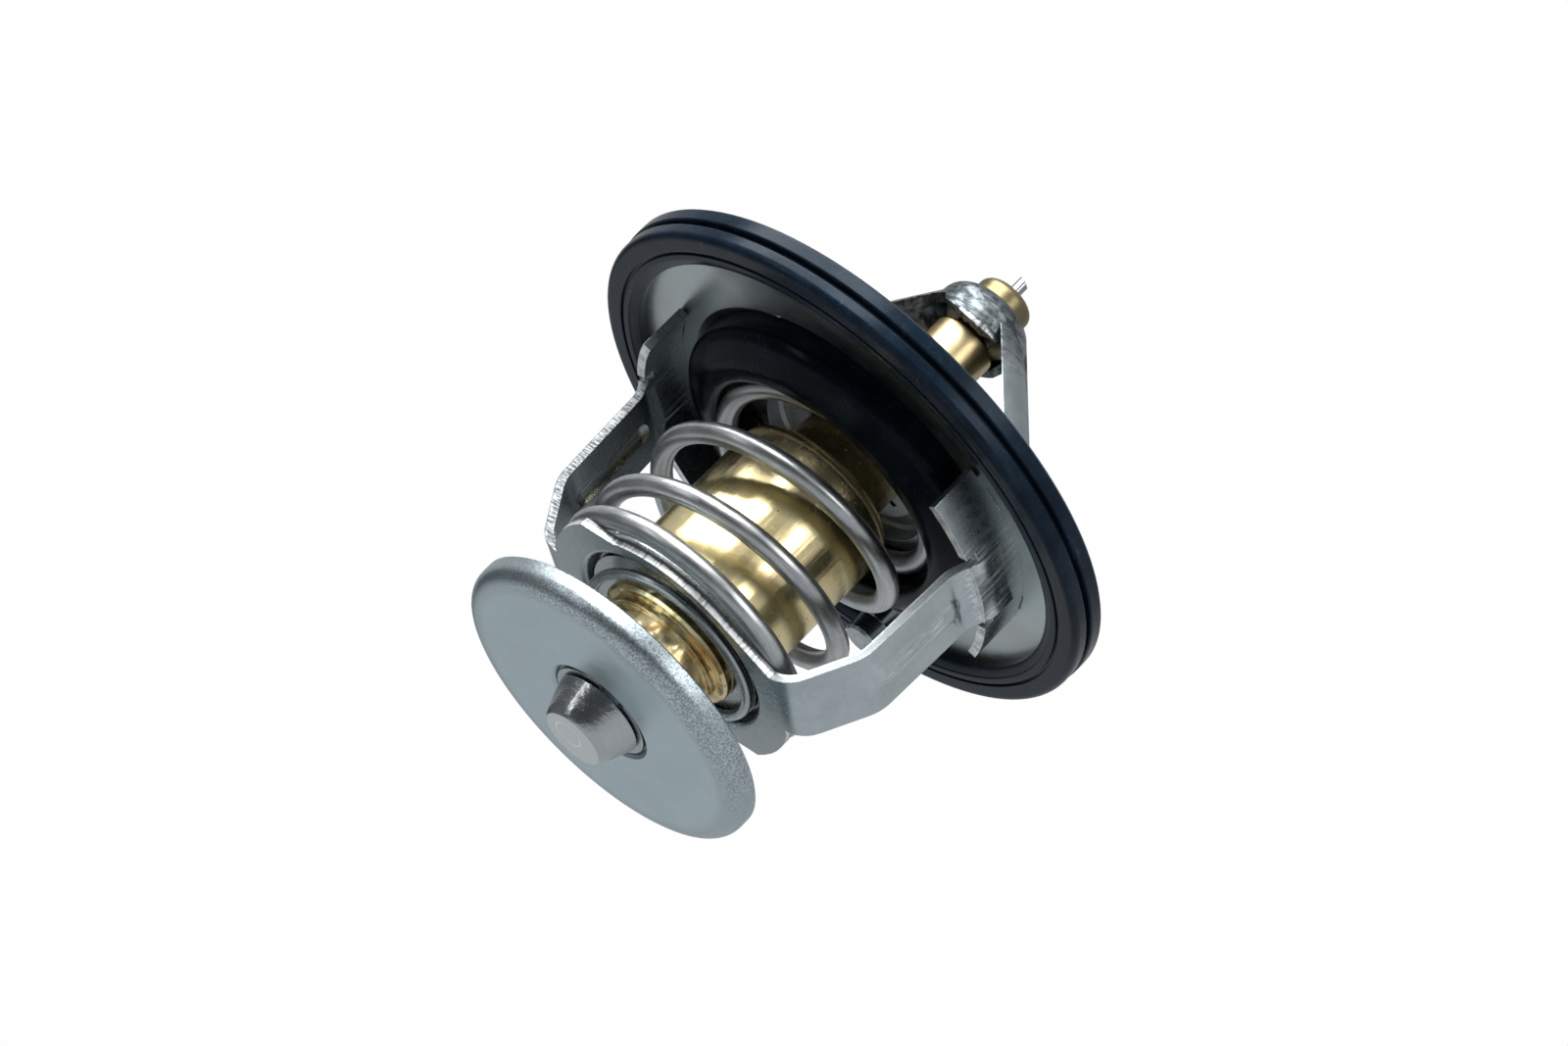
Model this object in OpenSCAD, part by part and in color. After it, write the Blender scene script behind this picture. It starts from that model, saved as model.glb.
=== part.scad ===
// Coolant thermostat of an engine, with a wax element between a bridge and a frame.
// Z runs along the axis, from the bridge at the bottom to the bypass disc at the top.
// The middle of the back lip of the rim seal lies at Z = 0 and the two arms stand along X.

/* [Flange] */
// Outer diameter of the rubber seal on the rim
rim_d = 56.6; // [55:0.2:68]
// Thickness of the rim seal along the axis
rim_t = 3.7; // [3.3:0.1:4.5]
// Width of the back lip, which seals in the bore of the housing
back_lip_t = 1.55; // [1.3:0.05:1.8]
// Thickness of the rubber behind the plate
back_cover = 1.1; // [0.9:0.05:1.4]
// Radial width of the rim seal
rim_w = 4; // [3.2:0.1:4.4]
// Depth of the groove that takes the plate into the seal
rim_grip = 2.5; // [1.5:0.1:2.8]
// Sheet thickness of the flange plate
plate_t = 1; // [0.8:0.05:1.4]
// Radial width of the funnelled valve seat
seat_w = 2.4; // [1.8:0.1:3]
// Depth of the funnelled valve seat
seat_drop = 1.8; // [1.4:0.1:2.4]

/* [Main valve] */
// Radial width of the rubber ring around the recess
dome_w = 5.1; // [4.2:0.1:6]
// Height of the rubber ring above the recess floor
dome_h = 3.6; // [3:0.1:4.4]
// Thickness of the steel disc inside the rubber
core_t = 0.8; // [0.6:0.05:1.2]
// Depth from the front of the seal to the seat of the main spring
recess_depth = 1.2; // [0.9:0.1:1.5]
// Depth of the well around the neck, below the seat of the main spring
well_depth = 1.7; // [1.2:0.1:2.2]

/* [Wax element] */
// Outer diameter of the brass cup
cup_d = 16.86; // [14:0.1:20.3]
// Wall thickness of the brass cup
cup_wall = 0.75; // [0.5:0.05:1]
// Distance from the front of the seal to the shoulder of the cup
cup_start = 2; // [1.5:0.1:2.7]
// Outer diameter of the neck of the cup
neck_d = 10.8; // [10:0.1:11.6]
// Diameter of the guide that holds the piston
guide_d = 6.5; // [6:0.1:7.2]
// Diameter of the piston
piston_d = 3.9; // [3.4:0.1:4.2]
// Wall thickness of the rubber sleeve around the piston
sleeve_wall = 1.9; // [1.4:0.1:2.2]
// Length of the brass end below the cup
heel_l = 4.7; // [4.2:0.1:6]

/* [Bridge] */
// Height of the bridge over the back of the plate
bridge_h = 20.1; // [17:0.5:25]
// Width across the rounded legs of the bridge
bridge_w = 8; // [7:0.2:9]
// Sheet thickness of the bridge
bridge_t = 1.1; // [0.9:0.05:1.4]
// Radius of the bend between the crown and the walls around it
bridge_bend = 2; // [1.6:0.1:2.4]
// Depth of the wall that hangs from the crown
bridge_wall = 4.6; // [3.6:0.1:5.4]
// Length of the bush above the crown of the bridge
bush_l = 2.1; // [1.6:0.1:4]
// Length of the piston's tip outside the bush
tip_l = 2.3; // [1:0.1:3]

/* [Lower frame] */
// Height of the frame over the front of the plate
frame_h = 24.6; // [20:0.1:29.6]
// Width of each arm
arm_w = 7.8; // [6.6:0.1:9.4]
// Sheet thickness of the frame
frame_t = 0.9; // [0.7:0.05:1.1]
// Height of the curved feet on the plate
foot_h = 5.4; // [4.4:0.1:6.4]
// Angle that each foot spans to either side of its arm
foot_half_angle = 31.5; // [24:0.5:36]
// Depth of the drawn recess in the crown
draw_h = 2.9; // [2.3:0.1:3.4]
// Height of the pressed rib over the outer face of each arm
rib_h = 0.45; // [0.3:0.05:0.6]
// Width of the pressed rib
rib_w = 2.9; // [2.2:0.1:3.6]

/* [Main spring] */
// Wire diameter of the main spring
wire_d = 2.1; // [1.7:0.1:2.5]
// Growth of the coil radius from the valve to the frame
spring_growth = 2; // [1.8:0.1:2.6]
// Turns that rise between the two closed ends
spring_turns = 3; // [2.5:0.25:3.5]

/* [Bypass valve] */
// Diameter of the bypass disc
disc_d = 32.4; // [27:0.2:38]
// Height of the face of the disc over the crown of the frame
disc_gap = 9.6; // [8.6:0.1:13]
// Sheet thickness of the disc
disc_t = 0.8; // [0.6:0.05:1]
// Diameter of the stem that carries the disc
stem_d = 8; // [7:0.1:9]
// Length of the cone at the end of the stem
nose_l = 3.6; // [2.8:0.1:4.6]
// Wire diameter of the bypass spring
bypass_wire_d = 1.05; // [0.8:0.05:1.2]

/* [Jiggle valve] */
// Diameter of the loose weight
jiggle_d = 3.7; // [3:0.1:4]
// Diameter of the pin of the jiggle valve
jiggle_pin_d = 1.9; // [1.5:0.1:2.2]
// Free travel of the jiggle valve
jiggle_travel = 3.1; // [2.6:0.1:3.6]

/* [Travel] */
// Opening travel of the wax element
element_travel = 8.5; // [6:0.5:9]
// Travel of the bypass disc along its stem
disc_travel = 4; // [3:0.1:4]

/* [Hidden] */
$fn = 96;

// Clearances between pieces
slip = 0.05;
press = 0.02;
seat_gap = 0.07;
loose = 0.3;
lip_gap = 0.4;
stem_slide = 0.1;
cut = 0.1;

// Radii built outward from the brass cup
cup_r = cup_d / 2;
neck_r = neck_d / 2;
guide_r = guide_d / 2;
piston_r = piston_d / 2;
wire_r = wire_d / 2;
spring_to_cup = 1.52;
top_coil_r = cup_r + spring_to_cup + wire_r;
bottom_coil_r = top_coil_r + spring_growth;
recess_r = top_coil_r + wire_r + lip_gap;
valve_r = recess_r + dome_w;
flat_r = valve_r + 0.8;
seat_in_r = flat_r - seat_w;
arm_r = flat_r + 2;
jiggle_r = flat_r + 1.7;
rim_r = rim_d / 2;
rim_in_r = rim_r - rim_w;
plate_r = rim_in_r + rim_grip;

// Heights along the axis, from the middle of the back lip
rim_back = -back_lip_t / 2;
rim_front = rim_back + rim_t;
plate_back = rim_back + back_cover;
plate_front = plate_back + plate_t;
crown_z = plate_front + frame_h;
disc_z = crown_z + disc_gap;
bridge_z = plate_back - bridge_h;
recess_z = rim_front - recess_depth;
well_z = recess_z - well_depth;
cup_z = rim_front + cup_start;

// Crown of the lower frame, with lobes that cover the last coil of the spring
cup_seat_z = crown_z - 1.2;
floor_z = crown_z - draw_h;
draw_r = cup_r + 1.77;
draw_wall_r = draw_r + frame_t;
mouth_round = 0.7;
crown_r = draw_wall_r + 0.8;
lobe_r = bottom_coil_r + wire_r - 0.2;
lobe_start = 20;
lobe_end = 56;
lobe_fade = 15;
shoulder_angle = 50;
hole_r = cup_r + seat_gap;

// Arms: where the middle of the sheet bends, and how tightly
arm_bend = bottom_coil_r + 1.75;
arm_knee = arm_r - 1.75;
arm_low = arm_r - 1.25;
knee_z = crown_z - 6.6;
foot_top = plate_front + foot_h;
foot_blend = 1.3;
bend_r = 2.9;
knee_r = 4;
low_r = 3;
ankle_r = 2;

// Feet, their notches and the tabs that pass through the plate
notch_w = 1;
notch_h = 1.1;
skirt = 0.3;
tab_angle = 21;
tab_w = 2.6;
stake_h = 0.7;

// Guide, sleeve and wax inside the cup
bush_flange_t = 1.9;
guide_top = bridge_z + bridge_t + bush_flange_t + 1;
lip_t = 0.4;
hub_len = 1.1;
neck_top = well_z - core_t - hub_len - lip_t;
guide_flange_z = neck_top + lip_t;
guide_flange_t = 2.4;
back_up_t = 0.6;
sleeve_flange_t = 1.2;
sleeve_z = guide_flange_z + guide_flange_t + back_up_t;
sleeve_r = piston_r + slip + sleeve_wall;
sleeve_tip = sleeve_r * 0.4;
neck_bore_r = neck_r - cup_wall;
shoulder_r = 1.63;
cavity_end = cup_seat_z - 1;
piston_end = cavity_end - 7;
sleeve_end = piston_end + 0.4;
wiper_z = guide_top + 1.6;
wiper_w = 0.75;
wiper_h = 1.2;

// Stepped heel of the cup
heel_r = cup_r - cup_wall - 0.5;
heel_low_h = 1.9;
heel_ring_r = heel_r - 0.95;
heel_ring_h = 0.8;
heel_top_r = heel_ring_r - 0.5;

// Bridge and bush
crown_in_z = bridge_z + bridge_t;
bush_r = piston_r + 1;
bush_flange_r = bush_r + 0.55;
bush_top = bridge_z - bush_l;
tip_r = 0.6;
piston_shoulder = bush_top + 1.1;

// Stem, disc and bypass spring
stem_r = stem_d / 2;
stem_foot_r = stem_r - 1;
stem_start = cup_seat_z + heel_l;
socket_z = cavity_end + 1.2;
hub_drop = 0.9;
hub_z = disc_z - hub_drop;
snap_t = 0.7;
snap_r = stem_r + 1.1;
snap_gap_angle = 34;
snap_open_at = -122;
groove_r = stem_r - 0.5;
hub_recess_r = snap_r + 0.3;
hub_back_r = hub_recess_r + disc_t;
disc_r = disc_d / 2;
roll_r = 1.6;
roll_drop = 1.2;
seat_washer_t = 0.6;
seat_washer_r = draw_r - 0.6;
bypass_wire_r = bypass_wire_d / 2;
low_coil_r = seat_washer_r - bypass_wire_r;
high_coil_r = hub_back_r + bypass_wire_r + 0.1;

// Jiggle valve
jiggle_angle = 94;
weight_h = 2.3;
jiggle_hole_r = jiggle_pin_d / 2 + loose;
shank_r = jiggle_pin_d * 0.35;

// Points of an arc, turning from one angle to another
function arc(cx, cz, r, from, to, steps) =
    [for (i = [0 : steps]) let (a = from + (to - from) * i / steps) [cx + r * cos(a), cz + r * sin(a)]];

// Share of the rise along a coil, easing in and out of the closed ends
function eased(u, w) =
    u <= 0 ? 0
    : u >= 1 ? 1
    : u < w ? u * u / (2 * w * (1 - w))
    : u > 1 - w ? 1 - (1 - u) * (1 - u) / (2 * w * (1 - w))
    : (u - w / 2) / (1 - w);

// Unit vector along a line, and the direction to its left
function unit(v) = v / norm(v);
function left(v) = [-v[1], v[0]];
function spin(v, a) = [v[0] * cos(a) - v[1] * sin(a), v[0] * sin(a) + v[1] * cos(a)];

// One bend of a sheet, from a line through p and q to a line through q and s
function corner(p, q, s, r, off) =
    let (
        d = unit(q - p),
        e = unit(s - q),
        turn = atan2(d[0] * e[1] - d[1] * e[0], d[0] * e[0] + d[1] * e[1]),
        way = turn > 0 ? 1 : -1,
        centre = q - d * r * tan(abs(turn) / 2) + left(d) * r * way,
        arm = left(d) * way * (off * way - r)
    )
    [for (i = [0 : 6]) centre + spin(arm, turn * i / 6)];

// One face of a bent sheet, at a distance to the left of the middle of the sheet
function face(path, radii, off) =
    let (
        n = len(path),
        first = path[0] + left(unit(path[1] - path[0])) * off,
        last = path[n - 1] + left(unit(path[n - 1] - path[n - 2])) * off
    )
    concat(
        [first],
        [for (i = [1 : n - 2], p = corner(path[i - 1], path[i], path[i + 1], radii[i - 1], off)) p],
        [last]
    );

function backward(points) = [for (i = [len(points) - 1 : -1 : 0]) points[i]];

// A round wire wound as a rising coil with closed ends. Swoop moves the change of radius
// toward the low end, and bow leans the free turns to one side.
module coil(r_low, r_high, z_low, z_high, rise_turns, closed_turns, wire, start, bow, bow_angle,
    swoop, per_turn, sides) {
    total = rise_turns + 2 * closed_turns;
    rings = round(total * per_turn);
    points = [
        for (i = [0 : rings])
            let (
                turn = total * i / rings - closed_turns,
                u = turn / rise_turns,
                e = eased(u, 0.08),
                r = r_low + (r_high - r_low) * (1 - pow(1 - e, swoop)),
                z = z_low + (z_high - z_low) * e,
                a = start + 360 * turn,
                side = bow * (1 - cos(360 * e)) / 2,
                cx = side * cos(bow_angle),
                cy = side * sin(bow_angle)
            )
            for (k = [0 : sides - 1])
                let (b = 360 * k / sides, d = r + wire * cos(b))
                [cx + d * cos(a), cy + d * sin(a), z + wire * sin(b)]
    ];
    skin = [
        for (i = [0 : rings - 1])
            for (k = [0 : sides - 1])
                let (p = i * sides + k, q = i * sides + (k + 1) % sides)
                [p, p + sides, q + sides, q]
    ];
    first = [[for (k = [0 : sides - 1]) k]];
    last = [[for (k = [0 : sides - 1]) rings * sides + sides - 1 - k]];
    polyhedron(points = points, faces = concat(first, skin, last), convexity = 6);
}

// A profile drawn in X and Z, given a width along Y
module sheet(points, width) {
    rotate([90, 0, 0])
        linear_extrude(height = width, center = true)
            polygon(points);
}

// Pressed plate with a funnelled valve seat, slots for the feet and the jiggle hole
module flange_plate() {
    color("lightslategray")
        difference() {
            rotate_extrude()
                polygon([
                    [plate_r, plate_front],
                    [flat_r, plate_front],
                    [seat_in_r, plate_front - seat_drop],
                    [seat_in_r, plate_back - seat_drop],
                    [flat_r, plate_back],
                    [plate_r, plate_back]
                ]);
            for (turn = [0, 180], side = [-1, 1])
                rotate([0, 0, turn + side * tab_angle])
                    tab_slot();
            rotate([0, 0, jiggle_angle])
                translate([jiggle_r, 0, plate_back - cut])
                    cylinder(r = jiggle_hole_r, h = plate_t + 2 * cut);
        }
}

// Opening in the plate that a tab of the lower frame passes through
module tab_slot() {
    translate([arm_r - frame_t / 2 - slip, -tab_w / 2 - slip, plate_back - cut])
        cube([frame_t + 2 * slip, tab_w + 2 * slip, plate_t + 2 * cut]);
}

// Rubber seal that grips the rim of the plate, with a groove and two lips around it
module rim_seal() {
    groove_w = 0.55;
    groove_deep = 0.75;
    step = 0.1;
    round_r = 0.7;
    bevel = 0.25;
    line = 0.35;
    rib_in = rim_in_r + 0.9;
    rib_out = rib_in + 0.65;
    face_in = rib_out + line;
    front_lip_r = rim_r - step;
    front_lip_z = rim_back + back_lip_t + groove_w;
    color("midnightblue")
        rotate_extrude()
            polygon(concat(
                [[rim_in_r, plate_front], [rim_in_r, rim_front - 2 * bevel]],
                [[rim_in_r + bevel, rim_front - bevel]],
                [[rib_in, rim_front - step], [rib_in, rim_front], [rib_out, rim_front]],
                [[rib_out, rim_front - line], [face_in, rim_front - line], [face_in, rim_front]],
                arc(front_lip_r - round_r, rim_front - round_r, round_r, 90, 0, 6),
                [[front_lip_r, front_lip_z + step], [front_lip_r - step, front_lip_z]],
                [[rim_r - groove_deep, front_lip_z - step]],
                [[rim_r - groove_deep, front_lip_z - groove_w + step]],
                [[rim_r - step, front_lip_z - groove_w], [rim_r, front_lip_z - groove_w - step]],
                [[rim_r, rim_back + bevel], [rim_r - bevel, rim_back]],
                [[rim_in_r + bevel, rim_back], [rim_in_r, rim_back + bevel], [rim_in_r, plate_back]],
                [[plate_r + press, plate_back], [plate_r + press, plate_front]]
            ));
}

// Arch over the back of the plate, pressed from sheet into a domed crown and gutter legs
module upper_bridge() {
    dome_r = bush_flange_r + loose + bridge_t;
    leg_r = bridge_w / 2;
    foot_x = arm_r + 0.2;
    foot_out = rim_in_r - 0.6;
    foot_w = bridge_w - 0.6;
    groove_r = 1.5;
    groove_sink = 0.35;
    weld_r = 0.9;
    weld_sink = 0.15;
    // Centre of the bend, and the leg that leaves the bend as its tangent
    bend_x = dome_r - bridge_bend;
    bend_z = bridge_z + bridge_bend;
    reach_x = foot_x - bend_x;
    reach_z = plate_back - bridge_t - bend_z;
    reach = sqrt(reach_x * reach_x + reach_z * reach_z);
    lean = atan2(reach_x, reach_z) - asin(bridge_bend / reach);
    start_x = bend_x + bridge_bend * cos(lean);
    start_z = bend_z - bridge_bend * sin(lean);
    leg_l = sqrt(reach * reach - bridge_bend * bridge_bend);
    color("silver")
        difference() {
            union() {
                // Domed crown, open toward the legs
                difference() {
                    rotate_extrude()
                        polygon(concat(
                            [[0, bridge_z]],
                            arc(bend_x, bend_z, bridge_bend, -90, 0, 8),
                            [[dome_r, bridge_z + bridge_wall], [dome_r - bridge_t, bridge_z + bridge_wall]],
                            arc(bend_x, bend_z, bridge_bend - bridge_t, 0, -90, 6),
                            [[0, bridge_z + bridge_t]]
                        ));
                    for (turn = [0, 180])
                        rotate([0, 0, turn])
                            translate([start_x, 0, start_z])
                                rotate([0, lean, 0])
                                    translate([-leg_r, 0, -1])
                                        cylinder(r = leg_r - bridge_t, h = leg_l);
                    // Sheared lower edge of the wall
                    for (turn = [0, 180])
                        rotate([0, 0, turn])
                            wall_shear(dome_r);
                }
                // Gutter legs and welded feet
                for (turn = [0, 180])
                    rotate([0, 0, turn]) {
                        translate([start_x, 0, start_z])
                            rotate([0, lean, 0])
                                linear_extrude(height = leg_l + 3)
                                    gutter(leg_r, bridge_t);
                        translate([foot_x - 1.6, -foot_w / 2, plate_back - bridge_t])
                            cube([foot_out - foot_x + 1.6, foot_w, bridge_t]);
                    }
            }
            // Hole for the bush
            translate([0, 0, bridge_z - cut])
                cylinder(r = bush_r + press, h = bridge_t + 2 * cut);
            // Legs end on the back of the plate
            translate([0, 0, plate_back])
                cylinder(r = rim_r, h = rim_t + leg_r);
            for (turn = [0, 180])
                rotate([0, 0, turn]) {
                    // Pressed groove along the leg
                    translate([start_x, 0, start_z])
                        rotate([0, lean, 0])
                            translate([groove_r - groove_sink, 0, leg_l * 0.14]) {
                                cylinder(r = groove_r, h = leg_l * 0.42);
                                sphere(r = groove_r);
                                translate([0, 0, leg_l * 0.42])
                                    sphere(r = groove_r);
                            }
                    // Spot weld on the foot
                    translate([(foot_x + foot_out) / 2 + 0.2, 0, plate_back - bridge_t - cut])
                        cylinder(r = weld_r, h = weld_sink + cut);
                }
        }
}

// Curved section of a leg, with its crest at the origin
module gutter(r, t) {
    depth = r * 0.46;
    difference() {
        intersection() {
            translate([-r, 0])
                circle(r = r);
            translate([-depth, -r])
                square([depth, 2 * r]);
        }
        translate([-r, 0])
            circle(r = r - t);
    }
}

// What the shears take off the lower edge of the crown's wall, on one side
module wall_shear(dome_r) {
    low_z = bridge_z + bridge_wall;
    translate([0, -dome_r / 2 - 1, 0])
        sheet([
            [-dome_r, low_z + cut], [-dome_r, low_z - 0.5], [-2.6, low_z - 0.1],
            [-0.8, low_z - 0.25], [0.6, low_z - 0.6], [1.9, low_z - 0.9],
            [2.6, low_z - 1.7], [dome_r, low_z - 1.9], [dome_r, low_z + cut]
        ], dome_r);
}

// Brass bush that holds the outer end of the piston
module bridge_bush() {
    color("goldenrod")
        rotate_extrude()
            polygon(concat(
                [[piston_r + slip, crown_in_z + bush_flange_t]],
                [[bush_flange_r - 0.2, crown_in_z + bush_flange_t]],
                [[bush_flange_r, crown_in_z + bush_flange_t - 0.2], [bush_flange_r, crown_in_z + 0.8]],
                [[bush_r + 0.05, crown_in_z + 0.2], [bush_r + 0.05, crown_in_z]],
                [[bush_r, crown_in_z], [bush_r, bush_top + 1.3]],
                arc(bush_r - 0.9, bush_top + 0.9, 0.9, 0, -90, 6),
                [[tip_r + slip, bush_top], [tip_r + slip, piston_shoulder - slip]],
                [[piston_r + slip, piston_shoulder - slip]]
            ));
}

// Steel piston with a thin tip that shows through the bush
module piston() {
    bevel = 0.3;
    color("gainsboro")
        difference() {
            rotate_extrude()
                polygon([
                    [0, bush_top - tip_l], [tip_r, bush_top - tip_l],
                    [tip_r, piston_shoulder], [piston_r - bevel, piston_shoulder],
                    [piston_r, piston_shoulder + bevel], [piston_r, piston_end - bevel],
                    [piston_r - bevel, piston_end], [0, piston_end]
                ]);
            translate([0, 0, bush_top - tip_l])
                rotate([0, 32, 0])
                    translate([-tip_l, -tip_l, -2 * tip_l])
                        cube([2 * tip_l, 2 * tip_l, 2 * tip_l]);
        }
}

// Middle of the sheet from the crown to the foot, and the radii of its bends
arm_path = [
    [0, crown_z - frame_t / 2], [arm_bend, crown_z - frame_t / 2], [arm_knee, knee_z],
    [arm_low, foot_top + foot_blend], [arm_r, foot_top - foot_blend], [arm_r, plate_front + foot_h / 3]
];
arm_radii = [bend_r, knee_r, low_r, ankle_r];

// Lower frame pressed from one sheet: drawn crown, ribbed arms and curved feet
module lower_frame() {
    inner_round = 0.5;
    outer_round = inner_round + frame_t;
    rib_run = arm_path[2] - arm_path[3];
    color("slategray")
        difference() {
            union() {
                translate([0, 0, crown_z - frame_t])
                    linear_extrude(height = frame_t)
                        crown_outline();
                // Wall of the drawn recess
                rotate_extrude()
                    polygon(concat(
                        [[0, floor_z]],
                        arc(draw_wall_r - outer_round, floor_z + outer_round, outer_round, -90, 0, 6),
                        [[draw_wall_r, crown_z - frame_t / 2], [0, crown_z - frame_t / 2]]
                    ));
                for (turn = [0, 180])
                    rotate([0, 0, turn]) {
                        sheet(
                            concat(
                                face(arm_path, arm_radii, frame_t / 2),
                                backward(face(arm_path, arm_radii, -frame_t / 2))
                            ),
                            arm_w
                        );
                        arm_foot();
                        // Pressed rib along the arm
                        on_arm()
                            intersection() {
                                rib(rib_crest_r, norm(rib_run));
                                translate([rib_sunk, -rib_w, -rib_w])
                                    cube([rib_crest_r, 2 * rib_w, norm(rib_run) + rib_w]);
                            }
                    }
            }
            // Inside of the drawn recess, with its rounded mouth
            rotate_extrude()
                polygon(concat(
                    [[0, floor_z + frame_t]],
                    arc(draw_r - inner_round, floor_z + frame_t + inner_round, inner_round, -90, 0, 5),
                    arc(draw_r + mouth_round, crown_z - mouth_round, mouth_round, 180, 90, 6),
                    [[draw_r + mouth_round, crown_z + cut], [0, crown_z + cut]]
                ));
            // Hole that guides the cup
            translate([0, 0, floor_z - cut])
                cylinder(r = hole_r, h = draw_h);
            // Hollow of the rib on the inside of the arm
            for (turn = [0, 180])
                rotate([0, 0, turn])
                    on_arm()
                        rib(rib_crest_r - frame_t, norm(rib_run));
        }
}

// Flat of the crown: a ring with a lobe on one side of each arm and a straight shoulder on the other
module crown_outline() {
    flat_end = arm_bend - bend_r * 0.58;
    circle(r = crown_r);
    for (turn = [0, 180])
        rotate([0, 0, turn])
            polygon(concat(
                [[0, 0], [crown_r * cos(shoulder_angle), crown_r * sin(shoulder_angle)]],
                [[flat_end, arm_w / 2], [flat_end, -arm_w / 2]],
                arc(0, 0, lobe_r, -lobe_start, -lobe_end, 6),
                [[crown_r * cos(lobe_end + lobe_fade), -crown_r * sin(lobe_end + lobe_fade)]]
            ));
}

// Size of the round tool that presses the rib, and how far its axis lies inside the sheet
rib_crest_r = (rib_w * rib_w / 4 + rib_h * rib_h) / (2 * rib_h);
rib_sunk = rib_crest_r - rib_h - frame_t / 2;

// Places a shape along the straight part of an arm, with X outward
module on_arm() {
    run = arm_path[2] - arm_path[3];
    translate([arm_low, 0, foot_top + foot_blend])
        rotate([0, atan2(run[0], run[1]), 0])
            translate([-rib_sunk, 0, 0])
                children();
}

// Round bar with ball ends, kept clear of both bends of the arm
module rib(r, run) {
    low = run * 0.14;
    high = run * 0.86;
    translate([0, 0, low])
        cylinder(r = r, h = high - low);
    for (z = [low, high])
        translate([0, 0, z])
            sphere(r = r);
}

// Curved foot that stands on the plate, with its relief notches and its tabs
module arm_foot() {
    r_in = arm_r - frame_t / 2;
    r_out = arm_r + frame_t / 2;
    reach = 2 * arm_r;
    difference() {
        intersection() {
            difference() {
                translate([0, 0, plate_front])
                    cylinder(r = r_out, h = foot_h);
                translate([0, 0, plate_front - cut])
                    cylinder(r = r_in, h = foot_h + 2 * cut);
            }
            translate([0, 0, plate_front - cut])
                linear_extrude(height = foot_h + 2 * cut)
                    polygon([
                        [0, 0],
                        [reach * cos(foot_half_angle), -reach * sin(foot_half_angle)],
                        [reach * cos(foot_half_angle), reach * sin(foot_half_angle)]
                    ]);
        }
        for (side = [-1, 1]) {
            translate([0, side * (arm_w + notch_w) / 2, foot_top - notch_h])
                translate([0, -notch_w / 2, 0])
                    cube([reach, notch_w, notch_h + cut]);
            // Lower edge of the wing lifts off the plate away from the arm
            rotate([0, 0, side * (tab_angle + 8)])
                translate([0, side > 0 ? 0 : -arm_r, plate_front - cut])
                    cube([reach, arm_r, skirt + cut]);
        }
    }
    // Tabs that pass through the plate and are staked on its back
    for (side = [-1, 1])
        rotate([0, 0, side * tab_angle])
            translate([r_in + cut, -tab_w / 2, plate_back - stake_h])
                cube([frame_t - 2 * cut, tab_w, plate_t + stake_h + foot_h / 2]);
}

// Steel disc that carries the rubber and the upper end of the main spring
module valve_disc() {
    well_r = top_coil_r - wire_r - 0.7;
    rim_out_r = recess_r + 2.6;
    color("dimgray")
        rotate_extrude()
            polygon([
                [neck_r + press, well_z], [well_r - 0.3, well_z], [well_r, well_z + 0.3],
                [well_r, recess_z], [rim_out_r, recess_z], [rim_out_r, recess_z - core_t],
                [well_r + core_t, recess_z - core_t], [well_r + core_t, well_z - core_t + 0.3],
                [well_r + core_t - 0.3, well_z - core_t], [neck_r + 1.2, well_z - core_t],
                [neck_r + 1, well_z - core_t - hub_len], [neck_r + press, well_z - core_t - hub_len]
            ]);
}

// Rubber ring moulded around the rim of the valve disc
module valve_rubber() {
    top_z = recess_z + dome_h;
    under_z = plate_front - seat_drop + seat_gap + 0.25;
    seat_slope = seat_drop / seat_w;
    wall_z = plate_front - (flat_r - valve_r) * seat_slope + seat_gap * 1.3;
    low_r = flat_r - (plate_front + seat_gap * 1.3 - under_z) / seat_slope;
    round_r = 1.5;
    color("black")
        rotate_extrude()
            polygon(concat(
                [[recess_r, recess_z], [recess_r, top_z - 0.8]],
                arc(recess_r + 0.8, top_z - 0.8, 0.8, 180, 90, 5),
                [[recess_r + 2, top_z - 0.12]],
                arc(valve_r - round_r, top_z - 1.1 - round_r, round_r, 62, 0, 6),
                [[valve_r, wall_z], [low_r, under_z], [recess_r - 1, under_z]],
                [[recess_r - 1, recess_z - core_t], [recess_r + 2.6 + press, recess_z - core_t]],
                [[recess_r + 2.6 + press, recess_z]]
            ));
}

// Toothed push nut that holds the valve disc on the neck
module valve_retainer() {
    nut_r = neck_r + 1.9;
    nut_t = 0.7;
    teeth = 8;
    tooth_gap = 0.8;
    color("gray")
        difference() {
            translate([0, 0, well_z])
                cylinder(r = nut_r, h = nut_t);
            translate([0, 0, well_z - cut])
                cylinder(r = neck_r + press, h = nut_t + 2 * cut);
            for (i = [0 : teeth - 1])
                rotate([0, 0, 360 * i / teeth])
                    translate([neck_r - 0.5, -tooth_gap / 2, well_z - cut])
                        cube([1.2, tooth_gap, nut_t + 2 * cut]);
        }
}

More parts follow.
